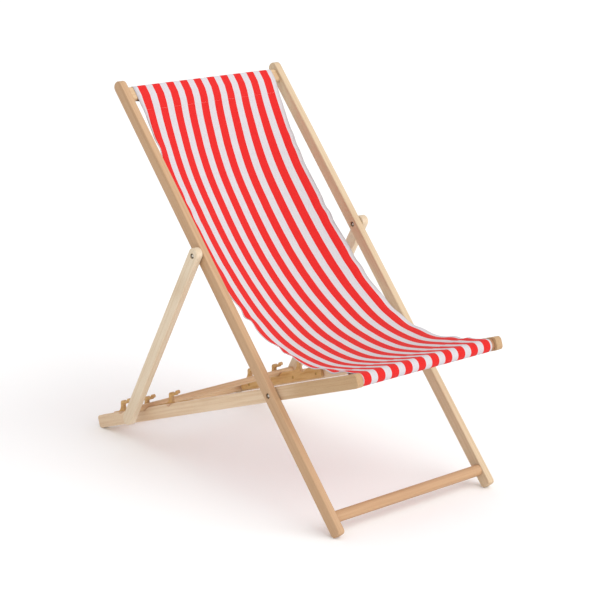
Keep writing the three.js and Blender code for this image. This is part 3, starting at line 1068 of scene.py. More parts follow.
@dataclass(frozen=True)
class Bar:
    """A bar across the chair, with its grain along it and its ends just inside the boards.

    Attributes:
        node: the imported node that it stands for.
        plane: its frame.
        at: where its middle lies along the rails and square to them.
        finish: its wood.
        edge: how wide the rounding at a round bar's ends is.
        edge_steps: how many faces that rounding has.
    """

    node: str
    plane: SidePlane
    at: Point2
    finish: Beech
    edge: float = 0.6
    edge_steps: int = 5

    def round(self, radius: float, half: float) -> None:
        """Builds a round bar.

        Args:
            radius: its radius.
            half: half its length.
        """
        low = arc((radius - self.edge, -half + self.edge), self.edge, -90, 0, self.edge_steps)
        high = arc((radius - self.edge, half - self.edge), self.edge, 0, 90, self.edge_steps)
        self.lay(new_object(f"{self.node}_rod", turned([(0, -half), *low, *high, (0, half)])))

    def flat(self, width: float, thick: float, corner: float, half: float) -> None:
        """Builds a flat bar with rounded edges, its wide face along the rails.

        Args:
            width: its size along the rails.
            thick: its size square to them.
            corner: radius of its edges.
            half: half its length.
        """
        outline = board_outline(-width / 2, width / 2, thick, corner, corner)
        self.lay(new_object(f"{self.node}_bar", extruded(outline, -half, half)))

    def lay(self, bar: bpy.types.Object) -> None:
        """Turns a bar's grain along it and puts the bar in place.

        Args:
            bar: the bar.
        """
        shade(bar)
        grain = Matrix.Rotation(math.pi / 2, 4, "Y")
        bar.data.transform(grain.inverted())
        install(bar, self.plane, self.plane.matrix(0.0, *self.at) @ grain, self.node,
                self.finish.build())


# ---- the racks ----------------------------------------------------------------------------------


@dataclass(frozen=True)
class Rack:
    """A plywood rack of three hooks, screwed to the inner face of a seat rail.

    Places are measured along the seat rail from the fold pivot, and heights from its middle.

    Attributes:
        thick: thickness of the plywood.
        inner: width of the seat rail's face that it is screwed to.
        front: where it starts.
        rear: where it ends.
        bottom: height of its plain lower edge.
        top: height of its upper edge between the hooks.
        corner: radius of its four corners.
        corner_steps: how many straight pieces a corner has.
        seats: places of the three dowel seats.
        used: the seat that the dowel lies in.
        lift: height of the dowel's middle in a seat.
        seat_radius: radius of a seat.
        seat_steps: how many straight pieces a seat has.
        ramp: how far ahead of a seat the slope down to it starts.
        hook_top: height of the hooks.
        knob_radius: radius of the knob at a hook's tip.
        knob_ahead: how far ahead of the seat the knob is.
        knob_height: height of the knob's middle.
        knob_from: angle in degrees at which the knob leaves the hook's underside.
        knob_to: angle in degrees at which it meets the hook's back.
        underside: a hook's curves up its leg and under its arm to the knob, as control point and
            end, each ahead of or behind the seat and in height.
        back: its curves over the arm and down to the heel.
        edge: how wide its broken edges are.
        screws: places of the four screws.
        sink_radius: radius of a screw's sinking.
        sink_depth: depth of a screw's sinking.
    """

    thick: float = 9.0
    inner: float = 224.0
    front: float = 345.0
    rear: float = 683.0
    bottom: float = -12.0
    top: float = 18.5
    corner: float = 5.0
    corner_steps: int = 8
    seats: tuple[float, ...] = (416.0, 521.0, 626.0)
    used: float = 521.0
    lift: float = 19.0
    seat_radius: float = 8.8
    seat_steps: int = 18
    ramp: float = 24.0
    hook_top: float = 44.0
    knob_radius: float = 4.6
    knob_ahead: float = 17.5
    knob_height: float = 41.5
    knob_from: float = 306.0
    knob_to: float = 20.0
    underside: tuple[tuple[float, ...], ...] = (
        (8.8, 24.0, 8.8, 27.0), (8.6, 34.6, 2.0, 35.0), (-4.0, 34.2, -9.0, 34.2),
        (-12.0, 34.6, -14.8, 37.8))
    back: tuple[tuple[float, ...], ...] = (
        (-10.5, 40.0, -6.0, 40.0), (-1.5, 40.0, 1.0, 42.0), (3.5, 44.0, 8.0, 44.0),
        (15.0, 44.0, 17.0, 36.0), (19.0, 27.0, 24.5, 22.5), (28.5, 18.8, 36.0, 18.5))
    edge: float = 0.5
    screws: tuple[float, ...] = (365.0, 460.0, 554.0, 648.0)
    sink_radius: float = 4.0
    sink_depth: float = 1.0

    @property
    def face(self) -> float:
        """Width of its face nearest the chair's middle."""
        return self.inner - FIT_GAP - self.thick

    def seat(self, at: float) -> list[Point2]:
        """Draws the slope down to a seat and the seat itself.

        Args:
            at: place of the seat.

        Returns:
            The outline's points.
        """
        return [(at - self.ramp, self.top),
                *arc((at, self.lift), self.seat_radius, 225, 360, self.seat_steps)]

    def hook(self, at: float) -> list[Point2]:
        """Draws one hook: its seat, its leg, the overhanging arm, the knob and the heel.

        Args:
            at: place of its seat.

        Returns:
            The outline's points.
        """
        points = self.seat(at)
        for control_s, control_n, s, n in self.underside:
            points += bend(points[-1], (at + control_s, control_n), (at + s, n))
        points += arc((at - self.knob_ahead, self.knob_height), self.knob_radius, self.knob_from,
                      self.knob_to, 20)
        for control_s, control_n, s, n in self.back:
            points += bend(points[-1], (at + control_s, control_n), (at + s, n))
        return points

    def notch(self, at: float) -> list[Point2]:
        """Draws the notch in the seat rail beside a seat.

        Args:
            at: place of the seat.

        Returns:
            The outline's points.
        """
        return [(at - self.ramp, self.hook_top), *self.seat(at),
                (at + self.seat_radius, self.hook_top)]

    def outline(self) -> list[Point2]:
        """Draws the rack: a plain lower edge and three hooks along the top.

        Returns:
            The outline's points.
        """
        r, steps = self.corner, self.corner_steps
        points = arc((self.front + r, self.bottom + r), r, 270, 180, steps)
        points += arc((self.front + r, self.top - r), r, 180, 90, steps)
        for at in self.seats:
            points += self.hook(at)
        points += arc((self.rear - r, self.top - r), r, 90, 0, steps)
        points += arc((self.rear - r, self.bottom + r), r, 0, -90, steps)
        return points

    def build(self, plane: SidePlane, side: Side, brass: bpy.types.Material) -> None:
        """Builds one side's rack and its screws.

        Args:
            plane: the seat frame.
            side: which side of the chair it is on.
            brass: the screws' material.
        """
        sign = side.value
        face = sign * self.face
        low, high = sorted((face, face + sign * self.thick))
        node = f"rack_{side.word}"
        rack = new_object(f"{node}_plate", extruded(self.outline(), low, high))
        soften(rack, self.edge, 2)
        carve(rack, [round_tool(self.sink_radius, face - sign, face + sign * self.sink_depth, s)
                     for s in self.screws])
        shade(rack)
        finish = Plywood(f"birch_plywood_{side.word}", 3.0 + sign, self.thick)
        install(rack, plane, plane.matrix(), node, finish.build())
        for number, s in enumerate(self.screws, 1):
            place = facing_out(plane.matrix(face, s), side)
            Screw(f"rack_screw_{side.word}_{number}").build(plane, place, brass)


@dataclass(frozen=True)
class Screw:
    """A countersunk screw with a cross recess.

    Attributes:
        node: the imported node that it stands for.
        profile: (radius, depth) points from the middle of its head to its tip.
        sides: how many sides it has.
        turn: how far its cross is turned, in radians.
        cross_half: half the length of a slot.
        slot_half: half the width of a slot.
        slot_depth: depth of a slot.
    """

    node: str
    profile: tuple[Point2, ...] = ((0, 0.3), (3.2, 0.3), (3.7, 0.55), (3.7, 0.75), (1.8, 2.6),
                                   (1.8, 20), (0, 24))
    sides: int = 32
    turn: float = 0.6
    cross_half: float = 2.0
    slot_half: float = 0.45
    slot_depth: float = 1.5

    def build(self, plane: SidePlane, place: Matrix, brass: bpy.types.Material) -> None:
        """Builds the screw.

        Args:
            plane: the seat frame.
            place: its matrix.
            brass: its material.
        """
        screw = new_object(f"{self.node}_screw", turned(self.profile, self.sides))
        a, b = self.cross_half, self.slot_half
        slots = []
        for turn in (self.turn, self.turn + math.pi / 2):
            slot = extruded([(-a, -b), (a, -b), (a, b), (-a, b)], -1, self.slot_depth)
            bmesh.ops.rotate(slot, verts=slot.verts, matrix=Matrix.Rotation(turn, 3, "Z"))
            slots.append(slot)
        carve(screw, slots)
        shade(screw)
        install(screw, plane, place, self.node, brass)


# ---- pivots -------------------------------------------------------------------------------------


@dataclass(frozen=True)
class Pivot:
    """A connector bolt in a sleeve nut, both heads sunk in recesses, with a washer between boards.

    Attributes:
        name: start of its nodes' names, without the side.
        side: which side of the chair it is on.
        plane: the back frame, which it rides on.
        at: place along the back rail.
        outer: width of the outermost board's outer face.
        inner: width of the innermost board's inner face.
        inset: how far the heads lie below the boards' faces.
        short: how much shorter than the boards both shanks are.
        head: (radius, depth) points of a domed head, from its middle to its flange's back.
        bolt_radius: radius of the bolt.
        bolt_chamfer: size of the chamfer at its end.
        sleeve_radius: radius of the sleeve.
        bore_radius: radius of the sleeve's bore.
        bore_from: where the bore ends under the sleeve's head.
        sides: how many sides both have.
        socket_radius: radius of the hexagon socket's corners.
        socket_depth: depth of the socket.
        washer_radius: radius of the washer.
        washer_hole: radius of its hole.
        washer_thick: its thickness.
        washer_edge: size of the chamfer round it.
        washer_sides: how many sides it has.
    """

    name: str
    side: Side
    plane: SidePlane
    at: float
    outer: float
    inner: float
    inset: float = 0.8
    short: float = 8.0
    head: tuple[Point2, ...] = ((0, 0.0), (1.9, 0.15), (3.0, 0.75), (3.6, 1.7), (3.7, 2.6),
                                (5.9, 2.6), (6.2, 2.9), (6.2, 3.8))
    bolt_radius: float = 2.9
    bolt_chamfer: float = 0.5
    sleeve_radius: float = 4.0
    bore_radius: float = 3.2
    bore_from: float = 4.8
    sides: int = 48
    socket_radius: float = 2.1
    socket_depth: float = 1.8
    washer_radius: float = 10.0
    washer_hole: float = 4.3
    washer_thick: float = 1.4
    washer_edge: float = 0.2
    washer_sides: int = 64

    def build(self, steel: bpy.types.Material, plain: bpy.types.Material) -> None:
        """Builds the bolt, the sleeve and the washer.

        Args:
            steel: material of the bolt and the sleeve.
            plain: material of the washer.
        """
        reach = self.outer - self.inner - self.short
        behind = self.head[-1][1]
        bolt = [*self.head, (self.bolt_radius, behind),
                (self.bolt_radius, reach - self.bolt_chamfer),
                (self.bolt_radius - self.bolt_chamfer, reach), (0, reach)]
        sleeve = [*self.head, (self.sleeve_radius, behind), (self.sleeve_radius, reach),
                  (self.bore_radius, reach), (self.bore_radius, self.bore_from),
                  (0, self.bore_from)]
        sign = self.side.value
        self.piece("bolt", [(r, -w) for r, w in bolt], sign * (self.outer - self.inset), -1, steel)
        self.piece("sleeve", sleeve, sign * (self.inner + self.inset), 1, steel)
        self.washer(plain)

    def piece(self, kind: str, profile: Sequence[Point2], w: float, inward: int,
              steel: bpy.types.Material) -> None:
        """Builds one turned piece with a hexagon socket in its head.

        Args:
            kind: "bolt" or "sleeve".
            profile: (radius, w) points from its head to its end.
            w: width of its head's middle.
            inward: the sign of w that goes into the boards.
            steel: its material.
        """
        node = f"{self.name}_{self.side.word}_{kind}"
        thing = new_object(f"{node}_{kind}", turned(profile, self.sides))
        corners = [math.pi * k / 3 for k in range(6)]
        hexagon = [(self.socket_radius * math.cos(a), self.socket_radius * math.sin(a))
                   for a in corners]
        low, high = sorted((-inward, inward * self.socket_depth))
        carve(thing, [extruded(hexagon, low, high)])
        shade(thing)
        place = facing_out(self.plane.matrix(w, self.at), self.side)
        install(thing, self.plane, place, node, steel)

    def washer(self, steel: bpy.types.Material) -> None:
        """Builds the flat washer between the two boards.

        Args:
            steel: its material.
        """
        node = f"{self.name}_{self.side.word}_washer"
        half, edge, radius = self.washer_thick / 2, self.washer_edge, self.washer_radius
        disc = turned([(0, -half), (radius - edge, -half), (radius, -half + edge),
                       (radius, half - edge), (radius - edge, half), (0, half)],
                      self.washer_sides)
        ring = new_object(f"{node}_ring", disc)
        carve(ring, [round_tool(self.washer_hole, -half - 1, half + 1)])
        shade(ring)
        middle = self.side.value * (self.outer + self.inner) / 2
        install(ring, self.plane, self.plane.matrix(middle, self.at), node, steel)


# ---- the three frames ---------------------------------------------------------------------------


@dataclass(frozen=True)
class BackFrame:
    """The back frame: two long rails, the flat bar at the top and the rung at the foot.

    Places are measured along the rails from the fold pivot.

    Attributes:
        angle: angle of its rails above the floor, in degrees.
        outer: width of the rails' outer faces.
        depth: depth of a rail.
        above: its length above the fold pivot.
        below: its length below it.
        foot_radius: corner radius at its foot.
        head_flat: how much smaller than half the depth the corners at its head are.
        prop_at: place of the prop pivot.
        bar_at: place of the top bar.
        bar_width: the top bar's size along the rails.
        bar_thick: its size square to them.
        bar_edge: radius of its edges.
        rung_at: how far below the pivot the foot rung is.
        rung_radius: radius of the foot rung.
        woods: early and late wood of the two rails.
        rung_woods: early and late wood of the foot rung.
    """

    angle: float = 47.6
    outer: float = 266.0
    depth: float = 31.0
    above: float = 881.0
    below: float = 370.0
    foot_radius: float = 9.0
    head_flat: float = 1.0
    prop_at: float = 387.0
    bar_at: float = 843.0
    bar_width: float = 36.0
    bar_thick: float = 16.0
    bar_edge: float = 6.0
    rung_at: float = 325.0
    rung_radius: float = 14.0
    woods: tuple[tuple[str, str], ...] = (("d9c1a0", "c5a886"), ("c9a47f", "b58d67"))
    rung_woods: tuple[str, str] = ("c7a07a", "b58b65")

    @property
    def inner(self) -> float:
        """Width of the rails' inner faces."""
        return self.outer - BOARD

    def build(self, plane: SidePlane) -> None:
        """Builds the frame.

        Args:
            plane: where it stands.
        """
        outline = board_outline(-self.below, self.above, self.depth, self.foot_radius,
                                self.depth / 2 - self.head_flat)
        for side, woods in zip(Side, self.woods):
            finish = Beech(f"beech_back_rail_{side.word}", *woods, rail_seed(side) + 1)
            Board(f"back_rail_{side.word}", plane, outline, self.inner, side, finish,
                  outer_recesses=(0.0,), inner_recesses=(self.prop_at,)).build()
        half = self.inner - FIT_GAP
        Bar("top_bar", plane, (self.bar_at, 0.0), Beech("beech_top_bar", seed=21)).flat(
            self.bar_width, self.bar_thick, self.bar_edge, half)
        Bar("bottom_bar", plane, (-self.rung_at, 0.0),
            Beech("beech_bottom_bar", *self.rung_woods, 23)).round(self.rung_radius, half)


@dataclass(frozen=True)
class SeatFrame:
    """The seat frame: two notched rails, the sling's front bar and a thin bar at the rear.

    Places are measured along the rails from the fold pivot.

    Attributes:
        inner: width of the rails' inner faces.
        depth: depth of a rail.
        rear: its length behind the fold pivot.
        front: its length ahead of it.
        rear_radius: corner radius at its rear end, which stands on the floor.
        front_radius: corner radius at its front end.
        front_at: how far ahead of the pivot the front bar is.
        front_bar_radius: radius of the front bar.
        rear_at: how far behind the pivot the rear bar is.
        rear_drop: how far below the rails' middle it is.
        rear_bar_radius: radius of the rear bar.
        woods: early and late wood of the rails.
        front_tint: tint of their front part, which makes it darker.
        front_woods: early and late wood of the front bar, painted darker and redder as painted
            shade and painted red bounce light from the cloth.
    """

    inner: float = 224.0
    depth: float = 33.0
    rear: float = 729.0
    front: float = 292.0
    rear_radius: float = 8.0
    front_radius: float = 10.0
    front_at: float = 271.0
    front_bar_radius: float = 15.0
    rear_at: float = 700.0
    rear_drop: float = 5.0
    rear_bar_radius: float = 9.0
    woods: tuple[str, str] = ("e7cdae", "d3af88")
    front_tint: str = "dbcdb9"
    front_woods: tuple[str, str] = ("b98562", "a37050")

    def slope(self, height: float) -> float:
        """Finds how steeply the rails fall to the floor.

        Args:
            height: height of the fold pivot.

        Returns:
            The angle, in radians.
        """
        run = self.rear - self.rear_radius
        drop = self.depth / 2 - self.rear_radius
        lean = math.asin((height - self.rear_radius) / math.hypot(run, drop))
        return lean - math.atan2(drop, run)

    def build(self, plane: SidePlane, rack: Rack) -> None:
        """Builds the frame.

        Args:
            plane: where it stands.
            rack: the rack beside its rails, which says where the notches are.
        """
        outline = board_outline(-self.front, self.rear, self.depth, self.front_radius,
                                self.rear_radius)
        notches = [rack.notch(at) for at in rack.seats]
        for side in Side:
            finish = Beech(f"beech_seat_rail_{side.word}", *self.woods, rail_seed(side) + 3,
                           front=self.front_tint)
            Board(f"seat_rail_{side.word}", plane, outline, self.inner, side, finish,
                  inner_recesses=(0.0,), notches=notches).build()
        half = self.inner - FIT_GAP
        # The front bar's wood colours are painted darker and redder: painted shade and painted red
        # bounce light from the cloth wrapped round it.
        Bar("front_bar", plane, (-self.front_at, 0.0),
            Beech("beech_front_bar", *self.front_woods, 25)).round(self.front_bar_radius, half)
        Bar("rear_bar", plane, (self.rear_at, -self.rear_drop),
            Beech("beech_rear_bar", seed=27)).round(self.rear_bar_radius, half)


@dataclass(frozen=True)
class PropFrame:
    """The prop frame: two struts and the dowel that drops into the racks.

    Attributes:
        inner: width of the struts' inner faces.
        depth: depth of a strut.
        above: its length above the prop pivot.
        past: its length past the dowel.
        end_flat: how much smaller than half the depth the corners at its ends are.
        dowel_radius: radius of the dowel.
        dowel_into: how far the dowel goes into a strut.
        woods: early, late and shadow wood of the struts.
    """

    inner: float = 268.0
    depth: float = 31.0
    above: float = 20.0
    past: float = 45.0
    end_flat: float = 0.5
    dowel_radius: float = 8.0
    dowel_into: float = 10.0
    woods: tuple[str, str, str] = ("e8d6bc", "d8bf9c", "c8a884")

    @property
    def outer(self) -> float:
        """Width of the struts' outer faces."""
        return self.inner + BOARD

    def build(self, plane: SidePlane, span: float) -> None:
        """Builds the frame.

        Args:
            plane: where it stands.
            span: distance from the prop pivot to the dowel.
        """
        pale, dark, shadow = self.woods
        end = self.depth / 2 - self.end_flat
        outline = board_outline(-self.above, span + self.past, self.depth, end, end)
        for side in Side:
            finish = Beech(f"beech_prop_strut_{side.word}", pale, dark, rail_seed(side) + 6,
                           shadow)
            Board(f"prop_strut_{side.word}", plane, outline, self.inner, side, finish,
                  outer_recesses=(0.0,), slot=Slot.PALE_BEECH).build()
        Bar("prop_dowel", plane, (span, 0.0), Beech("beech_prop_dowel", seed=29)).round(
            self.dowel_radius, self.inner + self.dowel_into)


def rail_seed(side: Side) -> float:
    """The start of one side's grain."""
    return 11.0 * side.value


@dataclass(frozen=True)
class Layout:
    """Where the chair's three frames stand.

    Attributes:
        back: the back frame.
        seat: the seat frame.
        prop: the prop frame.
        span: distance from the prop pivot to the dowel.
    """

    back: SidePlane
    seat: SidePlane
    prop: SidePlane
    span: float

    @classmethod
    def read(cls, joints: Sequence[dict], back: BackFrame, seat: SeatFrame,
             rack: Rack) -> "Layout":
        """Works the three frames out from the two packed pivots.

        Args:
            joints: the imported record's joints.
            back: the back frame's sizes.
            seat: the seat frame's sizes.
            rack: the rack's sizes.

        Returns:
            The layout of the open chair.
        """
        places = {j["name"]: j["pos_m"] for j in joints}
        fold = tuple(v / MM for v in places["frame_fold"][1:])
        hang = tuple(v / MM for v in places["prop_swing"][1:])
        seat_plane = SidePlane(Body.SEAT, fold, -seat.slope(fold[1]))
        back_plane = SidePlane(Body.BACK, fold, math.radians(back.angle))
        dowel = seat_plane.side(rack.used, rack.lift)
        reach = (dowel[0] - hang[0], dowel[1] - hang[1])
        prop_plane = SidePlane(Body.PROP, hang, math.atan2(reach[1], reach[0]))
        return cls(back_plane, seat_plane, prop_plane, math.hypot(*reach))


# ---- sling --------------------------------------------------------------------------------------


@dataclass(frozen=True)
class Ripples:
    """The small movements of the slack cloth.

    Attributes:
        free_after: run from a bar over which the cloth comes free of it.
        wave: length of the waves along both edges.
        right: height of the waves at the right edge.
        left: their height at the left edge.
        band: how far in from an edge they fade.
        drift: how far the waves' spacing wanders, in waves.
        drift_run: run over which it wanders.
        even: mean height of the waves, as a share of their full height.
        swell: how much higher or lower than that they get.
        swell_size: width and run over which they do.
        taut: how far the right edge stands above the sag.
        rise: how much further it stands where it is slackest.
        rise_at: where that is, as a share of the open run.
        rise_half: over what share it falls off.
        broad: height of the broad unevenness.
        broad_size: its width and run.
        pull: height of the creases that start at a bar.
        pull_size: their width and run.
        pull_fade: run from a bar over which they fade.
        pull_start: run from a bar over which they start.
    """

    free_after: float = 90.0
    wave: float = 84.0
    right: float = 5.0
    left: float = 2.4
    band: float = 22.0
    drift: float = 0.9
    drift_run: float = 110.0
    even: float = 0.7
    swell: float = 0.6
    swell_size: Point2 = (400.0, 150.0)
    taut: float = 5.0
    rise: float = 15.0
    rise_at: float = 0.74
    rise_half: float = 0.12
    broad: float = 2.0
    broad_size: Point2 = (150.0, 190.0)
    pull: float = 0.9
    pull_size: Point2 = (16.0, 260.0)
    pull_fade: float = 55.0
    pull_start: float = 12.0

    def edge(self, x: float, v: float, half: float, share: float) -> float:
        """Finds how far an edge stands off the sag.

        Args:
            x: place across the cloth.
            v: run along it.
            half: half the cloth's width.
            share: share of the open run.

        Returns:
            The height.
        """
        # The bare numbers in these noises only pick different parts of the noise.
        uneven = noise.noise(Vector((math.copysign(7.3, x), v / self.drift_run, 1.7)))
        turns = 2 * math.pi * (v / self.wave + self.drift * uneven)
        wide, long = self.swell_size
        swell = self.even + self.swell * noise.noise(Vector((3.1, v / long, x / wide)))
        wave = math.sin(turns) * swell
        slackest = math.exp(-(((share - self.rise_at) / self.rise_half) ** 2))
        rise = self.taut + self.rise * slackest if x < 0 else 0.0
        slack = self.right if x < 0 else self.left
        return math.exp(-(half - abs(x)) / self.band) * (slack * wave + rise)

    def height(self, x: float, v: float, half: float, room: float, share: float) -> float:
        """Finds how far the cloth stands off its sag, but for its margins' curl.

        Args:
            x: place across the cloth.
            v: run along it.
            half: half the cloth's width.
            room: run to the nearer bar.
            share: share of the open run.

        Returns:
            The height.
        """
        wide, long = self.broad_size
        broad = noise.noise(Vector((x / wide, v / long, 4.1)))
        wide, long = self.pull_size
        pull = noise.noise(Vector((x / wide, v / long, 9.4)))
        creases = self.pull * math.exp(-room / self.pull_fade) * pull
        return (self.freed(room) * (self.edge(x, v, half, share) + self.broad * broad)
                + creases * min(1.0, room / self.pull_start))

    def freed(self, room: float) -> float:
        """How free the cloth is of a bar, from 0 to 1, at a run from it."""
        share = min(1.0, room / self.free_after)
        return share * share * (3 - 2 * share)


@dataclass
class Sling:
    """One length of canvas, turned round both bars and stitched behind itself.

    Attributes:
        layout: where the chair's frames stand.
        back: the back frame, whose flat bar carries its top.
        seat: the seat frame, whose round bar carries its front.
        width: its width as it hangs, with its margins tucked in.
        sheet_width: its width laid flat.
        thick: its thickness.
        lift: from a bar's surface to the middle of the cloth.
        grid: size of the cloth's faces.
        turn_grid: size of its faces round a bar.
        sag: points of the open cloth, to the rear of and above the fold pivot.
        leaves: angle in degrees between the back rails and the cloth where it leaves the top bar.
        lead: run from the top bar to the first point of the sag.
        lands: angle in degrees at which it reaches the front bar.
        hem: length of a hem.
        hem_gap: between the middles of the cloth and of the hem turned behind it.
        top_hem_from: run of the cloth between the top bar and its hem.
        front_hem_from: run of the cloth between the front bar and its hem.
        hollow: how far its middle hangs behind its edges, by the share of its open run.
        hollow_middle: where its deepest line lies across it.
        hollow_half: half the width of the hollow.
        hollow_gain: how much the hollow is deepened.
        drift_top: how far to the left it lies at the top bar.
        drift_front: how far to the left it lies at the front bar.
        margin_from: where its plain margins start, each side of its middle.
        margin_spread: how much wider the open margins lie than those tucked in at the front bar.
        tuck_from: run before the front bar where the margins start to tuck in.
        tuck_to: run before it where they are tucked in.
        flare: run from the top bar over which the right margin turns under.
        margin_turned: how wide the right margin lies where it has turned under.
        curl: how steeply it turns under.
        folds: the two points, to the rear of and above the fold pivot, between which the cloth
        leaves the back frame's movement for the seat frame's. It is not used.
        top_seam: run from the top bar to its row of stitches.
        front_seam: run from the front bar to its row of stitches.
        stitch_pitch: distance between the middles of two stitches.
        ripples: the small movements of the slack cloth.
        path: (y, z) points of the cloth's middle, from the top hem to the front hem.
        runs: the run along the path to each point.
        open_from: run at which the cloth leaves the top bar.
        open_to: run at which it reaches the front bar.
    """

    layout: Layout
    back: BackFrame
    seat: SeatFrame
    width: float = 436.0
    sheet_width: float = 446.0
    thick: float = 0.9
    lift: float = 0.9
    grid: float = 4.5
    turn_grid: float = 2.0
    sag: tuple[Point2, ...] = (
        (515.0, 550.0), (443.0, 440.0), (370.0, 355.0), (292.0, 275.0), (210.0, 200.0),
        (145.0, 150.0), (70.0, 107.0), (0.0, 85.0), (-80.0, 80.0), (-170.0, 96.0))
    leaves: float = 13.7
    lead: float = 26.0
    lands: float = 78.0
    hem: float = 26.0
    hem_gap: float = 1.15
    top_hem_from: float = 12.0
    front_hem_from: float = 38.0
    hollow: tuple[Point2, ...] = (
        (0.0, 0.0), (0.02, 0.5), (0.08, 11.8), (0.14, 20.9), (0.2, 26.3), (0.26, 30.3),
        (0.32, 33.4), (0.38, 35.3), (0.44, 35.7), (0.5, 33.6), (0.56, 28.5), (0.62, 21.9),
        (0.68, 15.8), (0.74, 8.7), (0.8, 6.6), (0.86, 6.0), (0.92, 5.0), (0.98, 1.5), (1.0, 0.0))
    hollow_middle: float = -14.0
    hollow_half: float = 214.0
    hollow_gain: float = 1.08
    drift_top: float = 0.5
    drift_front: float = -5.4
    margin_from: float = 212.0
    margin_spread: float = 2.7
    tuck_from: float = 130.0
    tuck_to: float = 40.0
    flare: float = 90.0
    margin_turned: float = 0.3
    curl: float = 0.8
    folds: tuple[Point2, Point2] = ((120.0, 130.0), (-110.0, 80.0))
    top_seam: float = 34.0
    front_seam: float = 60.0
    stitch_pitch: float = 3.6
    ripples: Ripples = Ripples()
    path: list[Point2] = field(init=False)
    runs: list[float] = field(init=False)
    open_from: float = field(init=False)
    open_to: float = field(init=False)

    def __post_init__(self) -> None:
        """Traces the cloth round the top bar, down the sag and round the front bar."""
        top, front = self.top_turn(), self.front_turn()
        fold = self.layout.back.pivot
        sag = [(fold[0] + y, fold[1] + z) for y, z in self.sag]
        lead = self.layout.back.side(*self.leave_point(self.lead))
        hang = spline([top[-1], lead, *sag, front[0]], self.grid)
        self.path = [*resampled(top, self.turn_grid)[:-1], *hang[:-1],
                     *resampled(front, self.turn_grid)]
        self.runs = runs_along(self.path)
        self.open_from = runs_along(top)[-1]
        self.open_to = self.open_from + runs_along(hang)[-1]

    def leave_point(self, run: float, behind: float = 0.0) -> Point2:
        """Finds a point below the top bar's front edge.

        Args:
            run: run along the cloth from where it leaves the bar.
            behind: how far behind the cloth.

        Returns:
            The point, along the back rails and square to them.
        """
        a = math.radians(self.leaves)
        r = self.back.bar_edge + self.lift
        s = self.back.bar_at - self.back.bar_width / 2 + self.back.bar_edge - r * math.sin(a)
        n = self.back.bar_thick / 2 - self.back.bar_edge + r * math.cos(a)
        return (s - run * math.cos(a) + behind * math.sin(a),
                n - run * math.sin(a) - behind * math.cos(a))

    def top_turn(self) -> list[Point2]:
        """Traces the hem behind the cloth and the turn round the top bar.

        Returns:
            The (y, z) points.
        """
        r = self.back.bar_edge + self.lift
        low = self.back.bar_at - self.back.bar_width / 2 + self.back.bar_edge
        high = self.back.bar_at + self.back.bar_width / 2 - self.back.bar_edge
        n = self.back.bar_thick / 2 - self.back.bar_edge
        points = [self.leave_point(self.top_hem_from + self.hem, self.hem_gap),
                  self.leave_point(self.top_hem_from, self.hem_gap)]
        points += arc((low, -n), r, 198, 270, 8) + arc((high, -n), r, 270, 360, 8)
        points += arc((high, n), r, 0, 90, 8) + arc((low, n), r, 90, 90 + self.leaves, 4)
        return [self.layout.back.side(*p) for p in points]

    def front_turn(self) -> list[Point2]:
        """Traces the turn round the front bar and the hem under the cloth.

        Returns:
            The (y, z) points.
        """
        centre = self.layout.seat.side(-self.seat.front_at, 0)
        r = self.seat.front_bar_radius + self.lift
        slope = math.radians(self.lands - 90)
        land = (centre[0] + r * math.cos(math.radians(self.lands)),
                centre[1] + r * math.sin(math.radians(self.lands)))
        meet, end = ((land[0] + run * math.cos(slope) + self.hem_gap * math.sin(slope),
                      land[1] + run * math.sin(slope) - self.hem_gap * math.cos(slope))
                     for run in (self.front_hem_from, self.front_hem_from + self.hem))
        offset = (meet[0] - centre[0], meet[1] - centre[1])
        leave = math.degrees(math.atan2(offset[1], offset[0]))
        leave -= math.degrees(math.acos(r / math.hypot(*offset)))
        return [*arc(centre, r, self.lands, 360 + leave, 26), meet, end]

    def share(self, v: float) -> float:
        """The share of the open run at a run along the cloth."""
        return (v - self.open_from) / (self.open_to - self.open_from)

    def sunk(self, x: float, v: float) -> float:
        """Finds how far the cloth hangs behind its edges.

        Args:
            x: place across it.
            v: run along it.

        Returns:
            The depth.
        """
        share = min(1.0, max(0.0, self.share(v)))
        depth = 0.0
        for (share0, depth0), (share1, depth1) in zip(self.hollow, self.hollow[1:]):
            if share0 <= share <= share1:
                depth = depth0 + (depth1 - depth0) * (share - share0) / (share1 - share0)
        off = (x - self.hollow_middle) / self.hollow_half
        return depth * self.hollow_gain * max(0.0, 1 - off ** 2)

    def raised(self, x: float, v: float) -> float:
        """Finds how far the loose cloth stands off its sag.

        Args:
            x: place across it.
            v: run along it.

        Returns:
            The height, which is 0 on and past the bars.
        """
        room = min(v - self.open_from, self.open_to - v)
        if room <= 0:
            return 0.0
        curl = self.curl * max(0.0, -x - self.margin_from)
        height = self.ripples.height(x, v, self.width / 2, room, self.share(v))
        return height - self.ripples.freed(room) * curl

    def twin(self, v: float) -> tuple[float, int]:
        """Finds the open cloth that a place on a hem lies against.

        Args:
            v: run along the cloth.

        Returns:
            The run of the cloth it follows, and -1 on a hem, which faces the other way, or 1.
        """
        top_run = self.top_hem_from + self.hem - v
        front_run = self.front_hem_from + self.hem - (self.runs[-1] - v)
        if top_run > 0:
            return self.open_from + top_run, -1
        if front_run > 0:
            return self.open_to - front_run, -1
        return v, 1

    def spread(self, x: float, v: float) -> float:
        """Finds where a place across the flat cloth lies, with its margins tucked in.

        Args:
            x: the place across the flat cloth.
            v: run along the cloth.

        Returns:
            The place across the chair.
        """
        beyond = abs(x) - self.margin_from
        if beyond <= 0:
            return x
        if x < 0:
            least, opened = self.margin_turned, 1 - (v - self.open_from) / self.flare
        else:
            tuck = self.tuck_from - self.tuck_to
            least, opened = 1.0, (self.open_to - v - self.tuck_to) / tuck
        scale = least + (self.margin_spread - least) * min(1.0, max(0.0, opened))
        return math.copysign(self.margin_from + beyond * scale, x)

